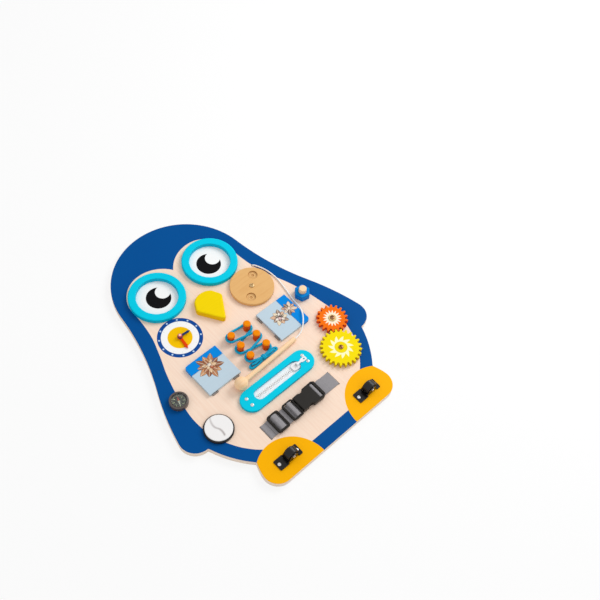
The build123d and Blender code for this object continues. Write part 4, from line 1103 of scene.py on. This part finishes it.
def postArc(centre, start, end, spin, level):
    # points round a post from one bearing to another, in the sense of spin
    turn = (end - start) * spin % fullTurn
    count = max(3, round(turn / 0.25))
    return [Vector((centre[0] + lacing["wrap"] * cos(start + spin * turn * step / count),
                    centre[1] + lacing["wrap"] * sin(start + spin * turn * step / count), level))
            for step in range(count + 1)]


def strandPoints(stops, level):
    # straight runs between posts and arcs round them; 1 keeps a post on the left, -1 on the right
    bearings = []
    for (start, startSide), (end, endSide) in zip(stops, stops[1:]):
        dx, dy = end[0] - start[0], end[1] - start[1]
        lean = asin((startSide - endSide) * lacing["wrap"] / hypot(dx, dy))
        bearings.append(atan2(dy, dx) + lean)
    points = [Vector((*stops[0][0], level))]
    for index in range(1, len(stops) - 1):
        centre, side = stops[index]
        arrive = bearings[index - 1] - side * pi / 2
        leave = bearings[index] - side * pi / 2
        points.extend(postArc(centre, arrive, leave, side, level))
    points.append(Vector((*stops[-1][0], level)))
    return points


def lacePath():
    low, middle, high = lacing["rows"]
    right, left = lacing["column"], -lacing["column"]
    topY = high + lacing["wrap"]
    reach = lacing["knotLength"] / 2 - lacing["intoKnot"]
    knotX, knotY = lacing["knot"]
    up = strandPoints([((knotX + reach, knotY), 0), ((right, low), 1), ((left, middle), -1),
                       ((right, high), 1), ((right / 2, topY), 0)], lacing["low"])
    down = strandPoints([((left / 2, topY), 0), ((left, high), 1), ((right, middle), -1),
                         ((left, low), 1), ((knotX - reach, knotY), 0)], lacing["high"])
    path = relaxed(evenly(up + down, lacing["spacing"]), lacing["easing"])
    return [onBoard(*point) for point in evenly(path, lacing["step"])]


def bowLoops():
    # two soft loops and two loose ends that leave the knot
    knotX, knotY = lacing["knot"]
    loops = [[(share * lacing["bow"] * side, y, z) for share, y, z in lacing["loop"]] for side in (-1, 1)]
    made = []
    for line in loops + list(lacing["ends"]):
        points = [onBoard(knotX + x, knotY + y, z) for x, y, z in line]
        made.append(evenly(nurbsLine("bowLine", points), lacing["step"] * mm))
    return made


def knotWrap():
    # the turns of lace that hold the bow
    knotX, knotY = lacing["knot"]
    level = (lacing["low"] + lacing["high"]) / 2
    wrap = lacing["knotWrap"]
    points = []
    for step in range(wrap["points"]):
        share = step / (wrap["points"] - 1)
        turn = fullTurn * wrap["turns"] * share
        y, z = wrap["half"][0] * cos(turn), wrap["half"][1] * sin(turn)
        points.append(onBoard(knotX + wrap["length"] * (share - 0.5), knotY + y, level + z))
    return evenly(points, lacing["step"] * mm)


def laceWeave():
    graph = Graph("laceWeave")
    fluff = graph.noise(2.2, detail=4.0)
    cloud = graph.noise(0.25, detail=2.0, offset=3.0)
    colour = graph.mix((cloud - 0.3) * 1.1, tone(0, 164, 208), tone(44, 192, 226))
    colour = graph.mix((fluff - 0.4) * 0.7, colour, tone(0, 128, 184))
    return graph.finish(colour, roughness=0.75, specular=0.15, sheen=0.2, sheenRoughness=0.4,
                        normal=graph.bump(fluff, 0.08))


def laceTube(points):
    return braidTube(points, lacing["radius"] * mm, lacing["carriers"], lacing["lay"] * mm,
                     lacing["relief"], taper=0.35)


lacePaint = laceWeave()
addPiece("braided_lace", *laceTube(lacePath()), lacePaint, "board", "lace_blue", ["lace"])
bow = joined([laceTube(points) for points in bowLoops() + [knotWrap()]])
addPiece("braided_bow", *bow, lacePaint, "board", "lace_blue", ["lace_bow"])
print("stage: lace")

tether = {
    "diameter": 1.8,
    "length": 144.8,
    "route": [(46.0, 126.8, 3.15), (52.98, 127.22, 2.75), (61.0, 129.6, 3.4), (69.5, 136.2, 7.9),
              (77.6, 146.4, 7.9), (83.2, 157.5, 2.2), (84.6, 171.2, 1.2), (87.5, 184.2, 1.2),
              (90.0, 197.6, 1.2), (91.2, 211.5, 1.2), (89.6, 225.0, 1.2), (85.2, 236.2, 1.4),
              (82.1, 241.0, 1.9), (81.0, 243.4, 0.2), (81.0, 243.4, -3.0)],
    "held": (83.2, 157.5, 2.2),
    "step": 0.4,
    "carriers": 6,
    "lay": 4.2,
    "relief": 0.12,
    "around": 14,
}


def cordWhite():
    graph = Graph("tetherWhite")
    fluff = graph.noise(2.5, detail=4.0)
    colour = graph.mix((fluff - 0.35) * 0.9, tone(248, 247, 244), tone(222, 220, 216))
    return graph.finish(colour, roughness=0.7, sheen=0.2, normal=graph.bump(fluff, 0.06))


tetherRoute = nurbsLine("tetherLine", [onBoard(*point) for point in tether["route"]])
tetherLine = evenly(tetherRoute, tether["step"] * mm)
tetherTube = braidTube(tetherLine, tether["diameter"] / 2 * mm, tether["carriers"], tether["lay"] * mm,
                       tether["relief"], tether["around"])
tetherPiece = addPiece("tether_cord", *tetherTube, cordWhite(), None, "cord_white", ["tether"])
onBoard(*tether["route"][0])
onBoard(*tether["held"])
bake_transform(tetherPiece)
onBoard(*tether["route"][0])
print("stage: tether")

studio = {
    "target": Vector((0.0, 0.0, 0.008)),
    "key": {"toward": Vector((0.75, -0.05, 0.66)), "distance": 1.25, "size": 0.7, "power": 7.6},
    "fill": {"toward": Vector((-0.75, -0.35, 0.55)), "distance": 1.6, "size": 1.2, "power": 1.0},
    "worldStrength": 0.68,
    "white": (1, 1, 1, 1),
    "floorGlow": 0.78,
    "floorSize": 8.0,
    "floorDrop": 0.0002,
}


def addLamp(name):
    lamp = studio[name]
    data = bpy.data.lights.new(name + "Lamp", "AREA")
    data.shape = "DISK"
    data.size = lamp["size"]
    data.energy = lamp["power"]
    direction = lamp["toward"].normalized()
    piece = linked(name + "Lamp", data)
    piece.location = studio["target"] + direction * lamp["distance"]
    piece.rotation_euler = direction.to_track_quat("Z", "Y").to_euler()


def seenRays(graph):
    # 1 for what is seen straight, in a gloss or through the lens, and 0 for light on its way
    rays = graph.node("LightPath", out="Is Camera Ray")
    outputs = rays.socket.node.outputs
    glossy, through = Wire(graph, outputs["Is Glossy Ray"]), Wire(graph, outputs["Is Transmission Ray"])
    return rays.most(glossy).most(through)


def floorPaint():
    graph = Graph("floorPaper")
    specks = graph.noise(0.02, detail=2.0)
    colour = graph.mix((specks - 0.4) * 0.3, tone(247, 247, 247), tone(244, 244, 245))
    paper = graph.node("BsdfPrincipled", None, {"Base Color": colour, "Roughness": 0.8})
    glow = graph.node("Emission", None, {"Color": studio["white"], "Strength": 1.0})
    share = seenRays(graph) * studio["floorGlow"]
    both = graph.node("MixShader", None, {0: share, 1: paper, 2: glow})
    graph.node("OutputMaterial", None, {0: both})
    return graph.material


def addFloor():
    half = studio["floorSize"] / 2
    mesh = bpy.data.meshes.new("floor")
    corners = [(-half, -half), (half, -half), (half, half), (-half, half)]
    mesh.from_pydata([(x, y, -studio["floorDrop"]) for x, y in corners], [], [(0, 1, 2, 3)])
    mesh.materials.append(floorPaint())
    linked("floor", mesh)


def setWorld():
    world = bpy.data.worlds.new("softRoom")
    bpy.context.scene.world = world
    graph = Graph("softRoom", world)
    strength = studio["worldStrength"] + seenRays(graph) * (1.0 - studio["worldStrength"])
    sky = graph.node("Background", None, {"Color": studio["white"], "Strength": strength})
    graph.node("OutputWorld", None, {0: sky})


camera = {
    "at": (-0.3741, -0.4047, 0.9187),
    "right": (0.7245, -0.6845, 0.0813),
    "up": (0.5419, 0.6384, 0.5466),
    "back": (-0.4261, -0.3520, 0.8334),
    "lens": 52.34,
    "sensor": 36.0,
    "clip": 0.01,
}


def addCamera():
    data = bpy.data.cameras.new("camera")
    data.lens = camera["lens"]
    data.sensor_width = camera["sensor"]
    data.clip_start = camera["clip"]
    eyePiece = linked("camera", data)
    turn = Matrix((camera["right"], camera["up"], camera["back"])).transposed().to_4x4()
    eyePiece.matrix_world = Matrix.Translation(camera["at"]) @ turn.to_quaternion().to_matrix().to_4x4()
    bpy.context.scene.camera = eyePiece


addFloor()
addLamp("key")
addLamp("fill")
setWorld()
addCamera()
bpy.context.scene.view_settings.view_transform = "Standard"

print("stage: studio")
